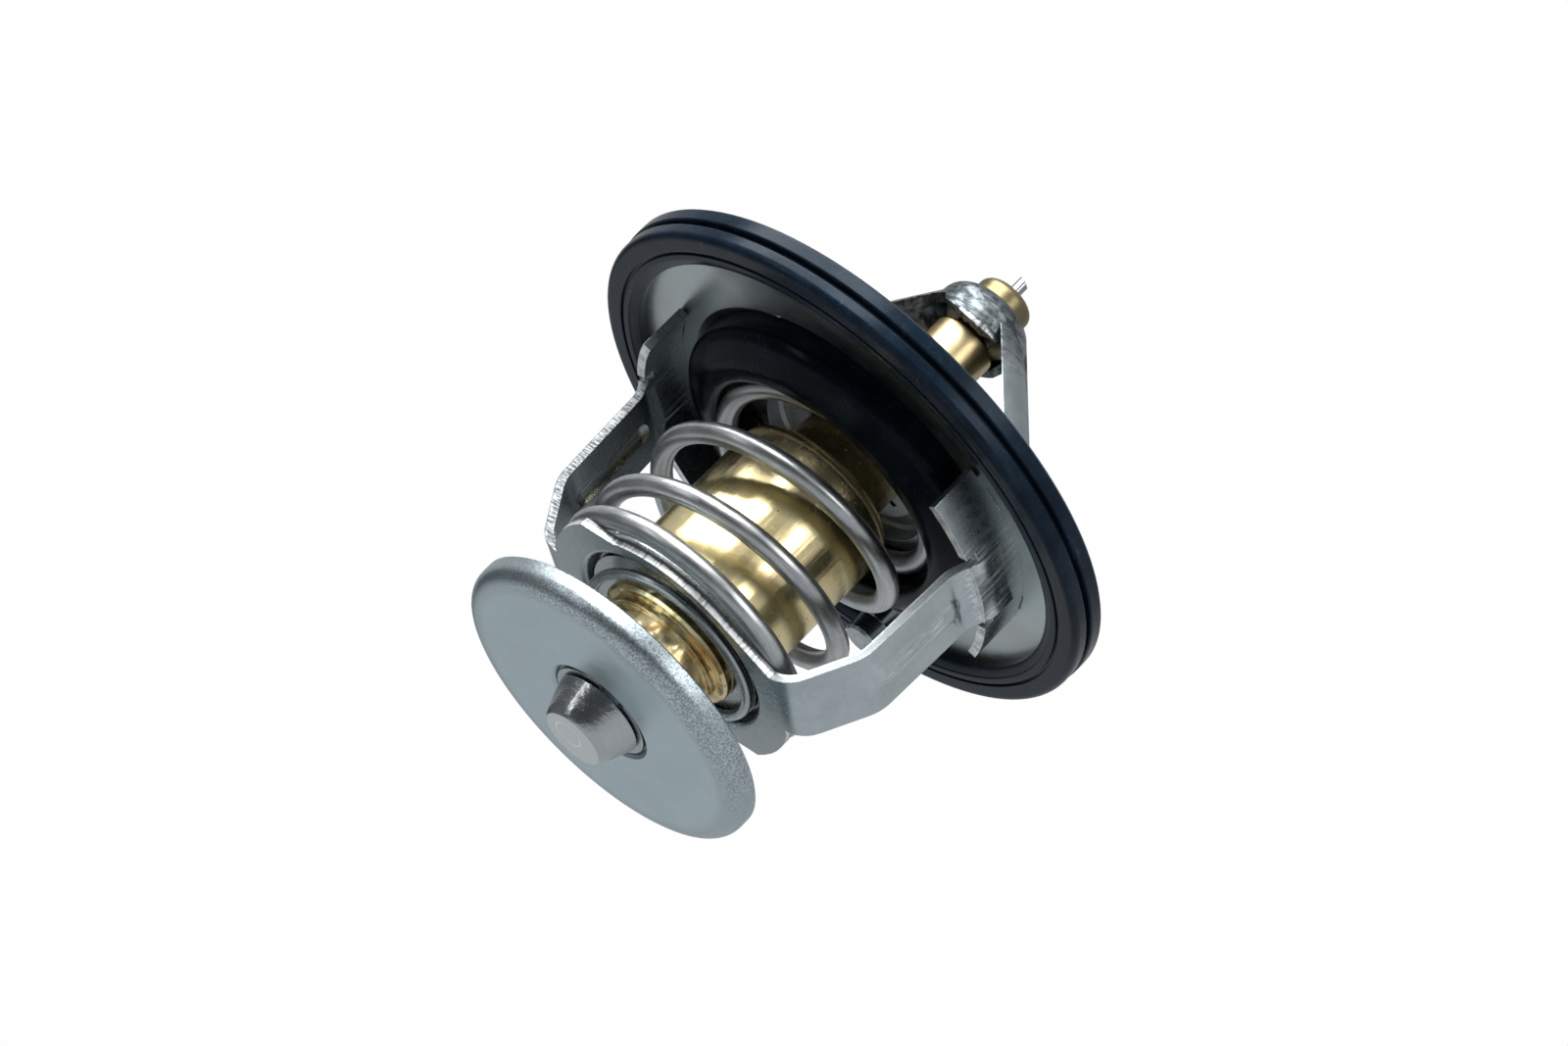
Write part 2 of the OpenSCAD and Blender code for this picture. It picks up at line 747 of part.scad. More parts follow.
// Brass cup that holds the wax, with its neck, shoulder and stepped heel
module wax_cup() {
    shoulder_x = cup_r - shoulder_r;
    shoulder_z = cup_z + shoulder_r;
    inner_r = cup_r - cup_wall;
    bevel = 0.3;
    low_z = cup_seat_z + heel_low_h;
    ring_z = low_z + heel_ring_h;
    color("goldenrod")
        rotate_extrude()
            polygon(concat(
                [[guide_r + slip, neck_top], [neck_r - bevel, neck_top], [neck_r, neck_top + bevel]],
                [[neck_r, cup_z]],
                arc(shoulder_x, shoulder_z, shoulder_r, -90, 0, 8),
                [[cup_r, cup_seat_z - bevel], [cup_r - bevel, cup_seat_z], [heel_r, cup_seat_z]],
                [[heel_r, low_z - bevel], [heel_r - bevel, low_z], [heel_ring_r, low_z]],
                [[heel_ring_r, ring_z], [heel_top_r, ring_z]],
                [[heel_top_r, stem_start - bevel], [heel_top_r - bevel, stem_start]],
                [[stem_foot_r + press, stem_start], [stem_foot_r + press, socket_z], [0, socket_z]],
                [[0, cavity_end], [inner_r, cavity_end]],
                arc(shoulder_x, shoulder_z, shoulder_r - cup_wall, 0, -90, 6),
                [[neck_bore_r, cup_z + cup_wall], [neck_bore_r, guide_flange_z]],
                [[guide_r + slip, guide_flange_z]]
            ));
}

// Brass guide of the piston, held by its flange in the neck of the cup
module guide_body() {
    bevel = 0.5;
    color("goldenrod")
        rotate_extrude()
            polygon([
                [piston_r + slip, guide_top], [guide_r - bevel, guide_top],
                [guide_r, guide_top + bevel], [guide_r, guide_flange_z],
                [neck_bore_r - press, guide_flange_z],
                [neck_bore_r - press, guide_flange_z + guide_flange_t],
                [piston_r + slip, guide_flange_z + guide_flange_t],
                [piston_r + slip, wiper_z + wiper_h],
                [piston_r + wiper_w, wiper_z + wiper_h],
                [piston_r + wiper_w, wiper_z],
                [piston_r + slip, wiper_z]
            ]);
}

// Rubber ring that wipes the piston at the mouth of the guide
module wiper_seal() {
    bevel = 0.2;
    color("black")
        rotate_extrude()
            polygon([
                [piston_r + slip, wiper_z + bevel],
                [piston_r + bevel, wiper_z + press],
                [piston_r + wiper_w - press, wiper_z + press],
                [piston_r + wiper_w - press, wiper_z + wiper_h - press],
                [piston_r + bevel, wiper_z + wiper_h - press],
                [piston_r + slip, wiper_z + wiper_h - bevel]
            ]);
}

// Stiff washer that keeps the sleeve out of the guide bore
module back_up_washer() {
    color("ivory")
        rotate_extrude()
            translate([piston_r + slip, guide_flange_z + guide_flange_t])
                square([neck_bore_r - press - piston_r - slip, back_up_t]);
}

// Rubber sleeve that the wax squeezes around the piston
module rubber_sleeve() {
    color("black")
        rotate_extrude()
            polygon([
                [piston_r + slip, sleeve_z], [neck_bore_r - press, sleeve_z],
                [neck_bore_r - press, sleeve_z + sleeve_flange_t], [sleeve_r, sleeve_z + sleeve_flange_t],
                [sleeve_r, sleeve_end + sleeve_wall - sleeve_tip],
                [sleeve_r - sleeve_tip, sleeve_end + sleeve_wall],
                [0, sleeve_end + sleeve_wall], [0, sleeve_end], [piston_r + slip, sleeve_end]
            ]);
}

// Block of wax that fills the cup around the sleeve
module wax_charge() {
    shoulder_x = cup_r - shoulder_r;
    shoulder_z = cup_z + shoulder_r;
    wax_in_r = sleeve_r + press;
    color("khaki")
        rotate_extrude()
            polygon(concat(
                [[wax_in_r, cup_z + cup_wall + press]],
                arc(shoulder_x, shoulder_z, shoulder_r - cup_wall - press, -90, 0, 6),
                [[cup_r - cup_wall - press, cavity_end - press], [0, cavity_end - press]],
                [[0, sleeve_end + sleeve_wall + press]],
                [[sleeve_r - sleeve_tip, sleeve_end + sleeve_wall + press]],
                [[wax_in_r, sleeve_end + sleeve_wall - sleeve_tip]]
            ));
}

// Steel stem pressed into the heel of the cup, with its groove and its coned nose
module bypass_stem() {
    nose_r = stem_r + 0.55;
    nose_end_r = stem_r - 0.7;
    nose_z = hub_z + snap_t + 0.15;
    color("silver")
        rotate_extrude()
            polygon([
                [0, socket_z + press], [stem_foot_r, socket_z + press],
                [stem_foot_r, stem_start], [stem_r, stem_start],
                [stem_r, hub_z + slip], [groove_r, hub_z + slip],
                [groove_r, nose_z], [nose_r - 0.15, nose_z],
                [nose_r, nose_z + 0.15], [nose_end_r + 0.1, nose_z + nose_l - 0.25],
                [nose_end_r - 0.2, nose_z + nose_l], [0, nose_z + nose_l]
            ]);
}

// Open ring in the groove of the stem, which the disc rests against
module snap_ring() {
    color("gray")
        difference() {
            translate([0, 0, hub_z + slip])
                cylinder(r = snap_r, h = snap_t);
            translate([0, 0, hub_z + slip - cut])
                cylinder(r = groove_r + slip, h = snap_t + 2 * cut);
            rotate([0, 0, snap_open_at])
                translate([0, 0, hub_z + slip - cut])
                    linear_extrude(height = snap_t + 2 * cut)
                        polygon([
                            [0, 0],
                            [3 * snap_r, -3 * snap_r * tan(snap_gap_angle / 2)],
                            [3 * snap_r, 3 * snap_r * tan(snap_gap_angle / 2)]
                        ]);
        }
}

// Washer on the shoulder of the cup that carries the bypass spring
module spring_seat() {
    color("silver")
        translate([0, 0, cup_seat_z])
            difference() {
                cylinder(r = seat_washer_r, h = seat_washer_t);
                translate([0, 0, -cut])
                    cylinder(r = heel_r + press, h = seat_washer_t + 2 * cut);
            }
}

// Main spring between the recess of the valve and the crown of the frame
module main_spring() {
    per_turn = 34;
    sides = 14;
    closed = 0.55;
    start = -161;
    bow = 0.7;
    bow_angle = -35;
    color("silver")
        coil(top_coil_r, bottom_coil_r, recess_z + wire_r + press, crown_z - frame_t - wire_r - press,
            spring_turns, closed, wire_r, start, bow, bow_angle, 1, per_turn, sides);
}

// Bypass disc with a rolled edge and a sunk hub that slides on the stem
module bypass_disc() {
    inner_roll = roll_r - disc_t;
    edge_z = disc_z - roll_r - roll_drop;
    color("silver")
        rotate_extrude()
            polygon(concat(
                [[stem_r + stem_slide, hub_z], [hub_recess_r, hub_z], [hub_recess_r, disc_z - 0.3]],
                [[hub_recess_r + 0.3, disc_z]],
                arc(disc_r - roll_r, disc_z - roll_r, roll_r, 90, 0, 8),
                [[disc_r, edge_z + 0.2], [disc_r - 0.2, edge_z], [disc_r - disc_t, edge_z]],
                arc(disc_r - roll_r, disc_z - roll_r, inner_roll, 0, 90, 6),
                [[hub_back_r, disc_z - disc_t], [hub_back_r, hub_z - disc_t]],
                [[stem_r + stem_slide, hub_z - disc_t]]
            ));
}

// Conical spring between the washer on the cup and the back of the bypass disc
module bypass_spring() {
    per_turn = 30;
    sides = 10;
    closed = 0.6;
    start = 20;
    rise_turns = 2.6;
    swoop = 2.5;
    color("silver")
        coil(low_coil_r, high_coil_r, cup_seat_z + seat_washer_t + bypass_wire_r + press,
            disc_z - disc_t - bypass_wire_r - press, rise_turns, closed, bypass_wire_r, start, 0, 0,
            swoop, per_turn, sides);
}

// Pin of the jiggle valve, with its head against the back of the plate
module jiggle_pin() {
    head_r = 1.65;
    head_h = 1;
    color("silver")
        rotate([0, 0, jiggle_angle])
            translate([jiggle_r, 0, 0])
                rotate_extrude()
                    polygon([
                        [0, plate_back - head_h], [head_r * 0.6, plate_back - head_h],
                        [head_r, plate_back - head_h * 0.4], [head_r, plate_back - slip],
                        [jiggle_pin_d / 2, plate_back - slip],
                        [jiggle_pin_d / 2, plate_front + jiggle_travel],
                        [shank_r, plate_front + jiggle_travel],
                        [shank_r, plate_front + jiggle_travel + weight_h],
                        [0, plate_front + jiggle_travel + weight_h]
                    ]);
}

// Weight of the jiggle valve, riveted on the front end of the pin
module jiggle_weight() {
    weight_z = plate_front + jiggle_travel;
    bevel = 0.25;
    color("silver")
        rotate([0, 0, jiggle_angle])
            translate([jiggle_r, 0, weight_z])
                rotate_extrude()
                    polygon([
                        [shank_r + press, 0], [jiggle_d / 2 - bevel, 0],
                        [jiggle_d / 2, bevel], [jiggle_d / 2, weight_h - bevel],
                        [jiggle_d / 2 - bevel, weight_h], [shank_r + press, weight_h]
                    ]);
}

flange_plate();
rim_seal();
upper_bridge();
bridge_bush();
piston();
lower_frame();
valve_disc();
valve_rubber();
valve_retainer();
wax_cup();
guide_body();
rubber_sleeve();
wax_charge();
back_up_washer();
wiper_seal();
bypass_stem();
snap_ring();
spring_seat();
main_spring();
bypass_disc();
bypass_spring();
jiggle_pin();
jiggle_weight();
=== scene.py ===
import math

import bpy
from mathutils import Matrix, Vector
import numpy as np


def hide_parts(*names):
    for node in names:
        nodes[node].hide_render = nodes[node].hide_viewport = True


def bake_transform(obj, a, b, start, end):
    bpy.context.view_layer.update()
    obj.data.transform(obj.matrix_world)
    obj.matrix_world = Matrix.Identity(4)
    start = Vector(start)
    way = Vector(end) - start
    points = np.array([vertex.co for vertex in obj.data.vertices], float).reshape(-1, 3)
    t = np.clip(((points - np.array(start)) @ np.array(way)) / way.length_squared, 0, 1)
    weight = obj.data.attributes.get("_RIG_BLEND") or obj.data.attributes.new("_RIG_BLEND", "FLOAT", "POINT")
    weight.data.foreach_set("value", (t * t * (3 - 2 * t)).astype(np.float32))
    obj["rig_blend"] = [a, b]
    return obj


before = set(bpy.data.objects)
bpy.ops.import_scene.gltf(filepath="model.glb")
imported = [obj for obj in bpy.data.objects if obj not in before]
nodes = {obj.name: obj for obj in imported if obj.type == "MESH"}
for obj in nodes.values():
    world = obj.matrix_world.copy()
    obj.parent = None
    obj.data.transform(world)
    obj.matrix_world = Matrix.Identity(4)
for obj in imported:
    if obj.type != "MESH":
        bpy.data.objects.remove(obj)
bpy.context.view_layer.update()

MM = 0.001
WIRE_UV = "along"

# Heights and radii of part.scad that the looks and the springs follow, in millimetres

CUP_R = 8.43
WIRE_R = 1.05
THIN_WIRE_R = 0.525
STEM_R = 4.0
PLATE_T = 1.0
FRAME_T = 0.9
DISC_T = 0.8
SEAT_WASHER_T = 0.6
FRAME_H = 24.6
BRIDGE_H = 20.1
DISC_GAP = 9.6
SPRING_TO_CUP = 1.52
SPRING_GROWTH = 2.0
PRESS = 0.02
PLATE_FRONT = 1.325
RECESS_Z = 1.725
CROWN_Z = PLATE_FRONT + FRAME_H
CUP_SEAT_Z = CROWN_Z - 1.2
DISC_Z = CROWN_Z + DISC_GAP
CROWN_MID = CROWN_Z - FRAME_T / 2
KNEE_Z = CROWN_Z - 6.6
FOOT_TOP = PLATE_FRONT + 5.4
ARM_LOW_Z = FOOT_TOP + 1.3
ARM_BEND, ARM_KNEE, ARM_LOW = 14.75, 18.6, 19.1
BRIDGE_Z = PLATE_FRONT - PLATE_T - BRIDGE_H
TOP_COIL_R = CUP_R + SPRING_TO_CUP + WIRE_R
BOTTOM_COIL_R = TOP_COIL_R + SPRING_GROWTH
DRAW_R = CUP_R + 1.77
SEAT_WASHER_R = DRAW_R - 0.6
SNAP_R = STEM_R + 1.1
HUB_RECESS_R = SNAP_R + 0.3
HUB_BACK_R = HUB_RECESS_R + DISC_T

# Bands of distance from the middle of the frame, each from its start to its full strength

BESIDE_RING = (12.6, 13.0)
RING_EDGE = (11.4, 11.7)
ARM_ROOTS = (13.2, 13.6)
FAR_ARM = (12.0, 13.0)
NEAR_ARM = (-12.0, -13.0)

# Colours of cut, torn, worn and dirty places, and of painted shade and painted highlight

FRESH_CUT = (0.95, 0.96, 0.97, 1.0)
CUT_GROOVE = (0.40, 0.43, 0.44, 1.0)
# Painted shade of the near arm's cut face
NEAR_CUT_SHADE = (0.36, 0.41, 0.43, 1.0)
ROUGH_CUT = (0.15, 0.16, 0.165, 1.0)
# Painted shade of the far arm's cut face, darker and lighter along the punch lines
SHADED_FAR_CUT_DARK = (0.05, 0.055, 0.06, 1.0)
SHADED_FAR_CUT_LIGHT = (0.32, 0.34, 0.35, 1.0)
RING_CUT = (0.98, 0.98, 0.98, 1.0)
RING_TORN = (0.14, 0.15, 0.155, 1.0)
# Painted shade of the frame's flat faces, and of the arms' inner faces below
FLAT_FACE_SHADE = (0.29, 0.335, 0.345, 1.0)
INNER_FACE_SHADE = (0.17, 0.19, 0.195, 1.0)
CHAFED = (0.90, 0.92, 0.93, 1.0)
ROLLED_BASE = (0.36, 0.42, 0.45, 1.0)
# Specks of the rim's grain, painted dark as reflection and light as glints on one side
ROLLED_GRAIN_SHADE = (0.22, 0.26, 0.28, 1.0)
ROLLED_GRAIN_GLINT = (0.84, 0.90, 0.93, 1.0)
HEEL_DEEP = (0.66, 0.42, 0.16, 1.0)
HEEL_PALE = (0.98, 0.82, 0.50, 1.0)
BRASS_PIT = (0.22, 0.14, 0.05, 1.0)
NOSE_END = (0.76, 0.81, 0.815, 1.0)
NOSE_RING = (0.92, 0.95, 0.96, 1.0)
TORN_DOME = (0.40, 0.44, 0.46, 1.0)
# Painted shade in clouds over the bridge's dome
DOME_PAINTED_SHADE = (0.035, 0.04, 0.043, 1.0)
BRIGHT_LIP = (0.42, 0.44, 0.45, 1.0)
# Painted shade on one side of the plate
PLATE_PAINTED_SHADE = (0.055, 0.065, 0.075, 1.0)
RUBBER_DUST = (0.07, 0.10, 0.13, 1.0)
RUBBER_MARK = (0.14, 0.17, 0.20, 1.0)
RUBBER_SHEEN = (0.72, 0.87, 1.0, 1.0)
STEEL = (0.545, 0.610, 0.635)
# Lightened brass edges: wear and painted highlight
BRASS_WEAR_AND_GLINT = (0.92, 0.84, 0.58)


# Node trees

class Look:
    """One procedural material, with short calls for the nodes that it is made of."""

    def __init__(self, name):
        self.material = bpy.data.materials.new(name)
        self.material.use_nodes = True
        self.tree = self.material.node_tree
        self.tree.nodes.clear()
        self.out = self.tree.nodes.new("ShaderNodeOutputMaterial")
        self.shader = self.tree.nodes.new("ShaderNodeBsdfPrincipled")
        self.link(self.shader.outputs["BSDF"], self.out.inputs["Surface"])
        self._place = None

    def link(self, a, b):
        self.tree.links.new(a, b)

    def put(self, socket, value):
        if hasattr(value, "is_output"):
            self.link(value, socket)
        else:
            socket.default_value = value

    def node(self, kind, **inputs):
        n = self.tree.nodes.new(kind)
        for key, value in inputs.items():
            self.put(n.inputs[key], value)
        return n

    def maths(self, operation, a, b=0.0):
        n = self.tree.nodes.new("ShaderNodeMath")
        n.operation = operation
        self.put(n.inputs[0], a)
        self.put(n.inputs[1], b)
        return n.outputs[0]

    def plus(self, a, b):
        return self.maths("ADD", a, b)

    def minus(self, a, b):
        return self.maths("SUBTRACT", a, b)

    def times(self, a, b):
        return self.maths("MULTIPLY", a, b)

    def larger(self, a, b):
        return self.maths("MAXIMUM", a, b)

    def magnitude(self, a):
        return self.maths("ABSOLUTE", a)

    def swing(self, value, amount):
        """A value that lies about a half, made to swing about nought by a share of this amount."""
        return self.times(self.minus(value, 0.5), amount)

    def dot(self, a, b):
        n = self.tree.nodes.new("ShaderNodeVectorMath")
        n.operation = "DOT_PRODUCT"
        self.put(n.inputs[0], a)
        self.put(n.inputs[1], b)
        return n.outputs["Value"]

    def place(self):
        """Position on the object in millimetres."""
        if self._place is None:
            coordinate = self.tree.nodes.new("ShaderNodeTexCoord")
            n = self.tree.nodes.new("ShaderNodeVectorMath")
            n.operation = "SCALE"
            self.link(coordinate.outputs["Object"], n.inputs[0])
            n.inputs["Scale"].default_value = 1.0 / MM
            self._place = n.outputs[0]
        return self._place

    def split(self, v):
        return self.node("ShaderNodeSeparateXYZ", Vector=v).outputs

    def join(self, x, y, z):
        return self.node("ShaderNodeCombineXYZ", X=x, Y=y, Z=z).outputs[0]

    def stretched(self, v, factors, turn=(0.0, 0.0, 0.0)):
        n = self.tree.nodes.new("ShaderNodeMapping")
        self.put(n.inputs["Vector"], v)
        n.inputs["Rotation"].default_value = turn
        n.inputs["Scale"].default_value = factors
        return n.outputs[0]

    def noise(self, v, scale=1.0, detail=2.0, rough=0.5, distortion=0.0, w=None):
        n = self.tree.nodes.new("ShaderNodeTexNoise")
        if w is not None:
            n.noise_dimensions = "4D"
            self.put(n.inputs["W"], w)
        self.put(n.inputs["Vector"], v)
        n.inputs["Scale"].default_value = scale
        n.inputs["Detail"].default_value = detail
        n.inputs["Roughness"].default_value = rough
        n.inputs["Distortion"].default_value = distortion
        return n.outputs[0]

    def ranged(self, value, low, high, to_low=0.0, to_high=1.0, smooth=False):
        n = self.tree.nodes.new("ShaderNodeMapRange")
        n.clamp = True
        if smooth:
            n.interpolation_type = "SMOOTHSTEP"
        self.put(n.inputs["Value"], value)
        n.inputs["From Min"].default_value = low
        n.inputs["From Max"].default_value = high
        n.inputs["To Min"].default_value = to_low
        n.inputs["To Max"].default_value = to_high
        return n.outputs[0]

    def fading(self, value, low, high):
        """One below the low end and nought above the high one."""
        return self.ranged(value, low, high, 1.0, 0.0)

    def mix(self, factor, a, b):
        n = self.tree.nodes.new("ShaderNodeMix")
        n.data_type = "RGBA"
        self.put(n.inputs[0], factor)
        self.put(n.inputs[6], a)
        self.put(n.inputs[7], b)
        return n.outputs[2]

    def cover(self, under, mask, share, over):
        """A colour laid over another where the mask is, at most by this share."""
        return self.mix(self.times(mask, share), under, over)

    def blend_value(self, factor, a, b):
        n = self.tree.nodes.new("ShaderNodeMix")
        n.data_type = "FLOAT"
        self.put(n.inputs[0], factor)
        self.put(n.inputs[2], a)
        self.put(n.inputs[3], b)
        return n.outputs[0]

    def bump(self, height, distance, strength=1.0, normal=None):
        n = self.tree.nodes.new("ShaderNodeBump")
        self.put(n.inputs["Height"], height)
        n.inputs["Distance"].default_value = distance
        n.inputs["Strength"].default_value = strength
        if normal is not None:
            self.link(normal, n.inputs["Normal"])
        return n.outputs[0]

    def rounded(self, radius):
        n = self.tree.nodes.new("ShaderNodeBevel")
        n.samples = 6
        n.inputs["Radius"].default_value = radius
        return n.outputs[0]

    def edge(self, rounded_normal):
        """One where the rounded normal leaves the true one, so along edges."""
        geometry = self.tree.nodes.new("ShaderNodeNewGeometry")
        same = self.dot(rounded_normal, geometry.outputs["Normal"])
        return self.ranged(self.minus(1.0, same), 0.02, 0.22)

    def facing(self):
        """Normal on the object, the same from wherever it is seen."""
        coordinate = self.tree.nodes.new("ShaderNodeTexCoord")
        return coordinate.outputs["Normal"]

    def finish(self, colour, roughness, normal=None, **constants):
        self.put(self.shader.inputs["Base Color"], colour)
        self.put(self.shader.inputs["Roughness"], roughness)
        if normal is not None:
            self.link(normal, self.shader.inputs["Normal"])
        for key, value in constants.items():
            self.shader.inputs[key.replace("_", " ")].default_value = value
        return self.material


# Looks of metal, rubber, wax and wire

def shade(colour, factor):
    """A colour made darker or lighter, as the four numbers that a socket takes."""
    return tuple(c * factor for c in colour[:3]) + (1.0,)


def off_axis(look, x, y):
    return look.maths("SQRT", look.plus(look.times(x, x), look.times(y, y)))


def radius_of(look):
    x, y, _ = look.split(look.place())
    return off_axis(look, x, y)


def grain_place(look, way):
    """Coordinates in which marks run along X or Z, round the axis or along it, and a fourth one if needed."""
    p = look.place()
    along = 0.06
    if way == "x":
        return look.stretched(p, (along, 1.0, 1.0)), None
    if way == "z":
        return look.stretched(p, (1.0, 1.0, along)), None
    x, y, z = look.split(p)
    r = off_axis(look, x, y)
    far = look.larger(r, 0.01)
    cos, sin = look.maths("DIVIDE", x, far), look.maths("DIVIDE", y, far)
    if way == "turned":
        return look.join(look.times(cos, 0.35), look.times(sin, 0.35), z), r
    return look.join(look.times(cos, 7.0), look.times(sin, 7.0), look.times(z, 0.05)), None


def scratches(look, angles, scale, thin):
    """Fine straight scratches in a few directions."""
    total = None
    for i, angle in enumerate(angles):
        v = look.stretched(look.place(), (scale, scale * 0.035, scale), (0.3 * i, 0.5 - 0.2 * i, angle))
        n = look.noise(v, 1.0, 1.0, 0.5, 0.15)
        line = look.fading(look.magnitude(look.minus(n, 0.5)), 0.0, thin)
        gate = look.ranged(look.noise(look.place(), 0.35 + 0.13 * i, 2.0), 0.52, 0.62)
        line = look.times(line, gate)
        total = line if total is None else look.larger(total, line)
    return total


def metal(name, colour, rough, way, grain=1.0, grain_scale=9.0, blotch=0.10, dents=0.0, dent_scale=0.5,
          specks=0.0, scratch=0.5, edge=0.5, edge_radius=0.12, tint=None, more=None,
          wear_and_glint=(0.74, 0.78, 0.80)):
    """Metal with grain along one way, clouds, scratches, pits, and edges lightened as wear and as a painted
    highlight.

    The depth of dents and the edge radius are in millimetres. More is a function that adds what one
    piece has of its own.
    """
    look = Look(name)
    v, w = grain_place(look, way)
    fine = look.noise(v, grain_scale, 3.0, 0.6, 0.0, w)
    coarse = look.noise(v, grain_scale * 0.3, 2.0, 0.5, 0.0, w)
    cloud = look.noise(look.place(), 0.22, 3.0, 0.55)
    patch = look.noise(look.place(), 1.3, 3.0, 0.6)
    marks = scratches(look, (0.4, 1.7, 2.6), 2.2, 0.012)
    rounded = look.rounded(edge_radius * MM)
    worn_glint_edge = look.edge(rounded)

    tone = look.plus(look.swing(cloud, blotch * 2.0), look.swing(fine, 0.22 * grain))
    tone = look.plus(tone, look.swing(patch, blotch))
    light = look.mix(look.ranged(tone, -0.25, 0.25), shade(colour, 0.80), shade(colour, 1.16))
    if tint is not None:
        stain = look.ranged(look.noise(look.place(), 0.12, 2.0), 0.45, 0.72, 0.0, 0.55)
        light = look.mix(stain, light, tint + (1.0,))
    light = look.cover(light, marks, 0.45 * scratch, shade(colour, 1.35))
    height = look.plus(look.times(fine, 0.6), look.times(coarse, 0.4))
    if specks:
        cell = look.node("ShaderNodeTexVoronoi", Vector=look.place(), Scale=2.6)
        spot = look.fading(cell.outputs["Distance"], 0.02, 0.16)
        pick = look.ranged(look.split(cell.outputs["Color"])[0], 0.70, 0.86)
        spot = look.times(spot, pick)
        light = look.cover(light, spot, specks, shade(colour, 0.45))
        height = look.minus(height, look.times(spot, 0.9))
    height = look.minus(height, look.times(marks, 0.8 * scratch))
    # Edges lightened along their rounding: partly wear, partly a painted highlight
    light = look.cover(light, worn_glint_edge, edge, wear_and_glint + (1.0,))
    roughness = look.plus(rough, look.swing(patch, 0.14))
    roughness = look.plus(roughness, look.swing(fine, 0.16 * grain))
    roughness = look.larger(roughness, 0.06)
    normal = look.bump(height, 0.006 * MM * grain, 1.0, rounded)
    if dents:
        soft = look.noise(look.place(), dent_scale, 2.0, 0.45)
        normal = look.bump(soft, dents * MM, 1.0, normal)
    if more is not None:
        light, roughness, normal = more(look, light, roughness, normal)
    return look.finish(light, roughness, normal, Metallic=1.0)


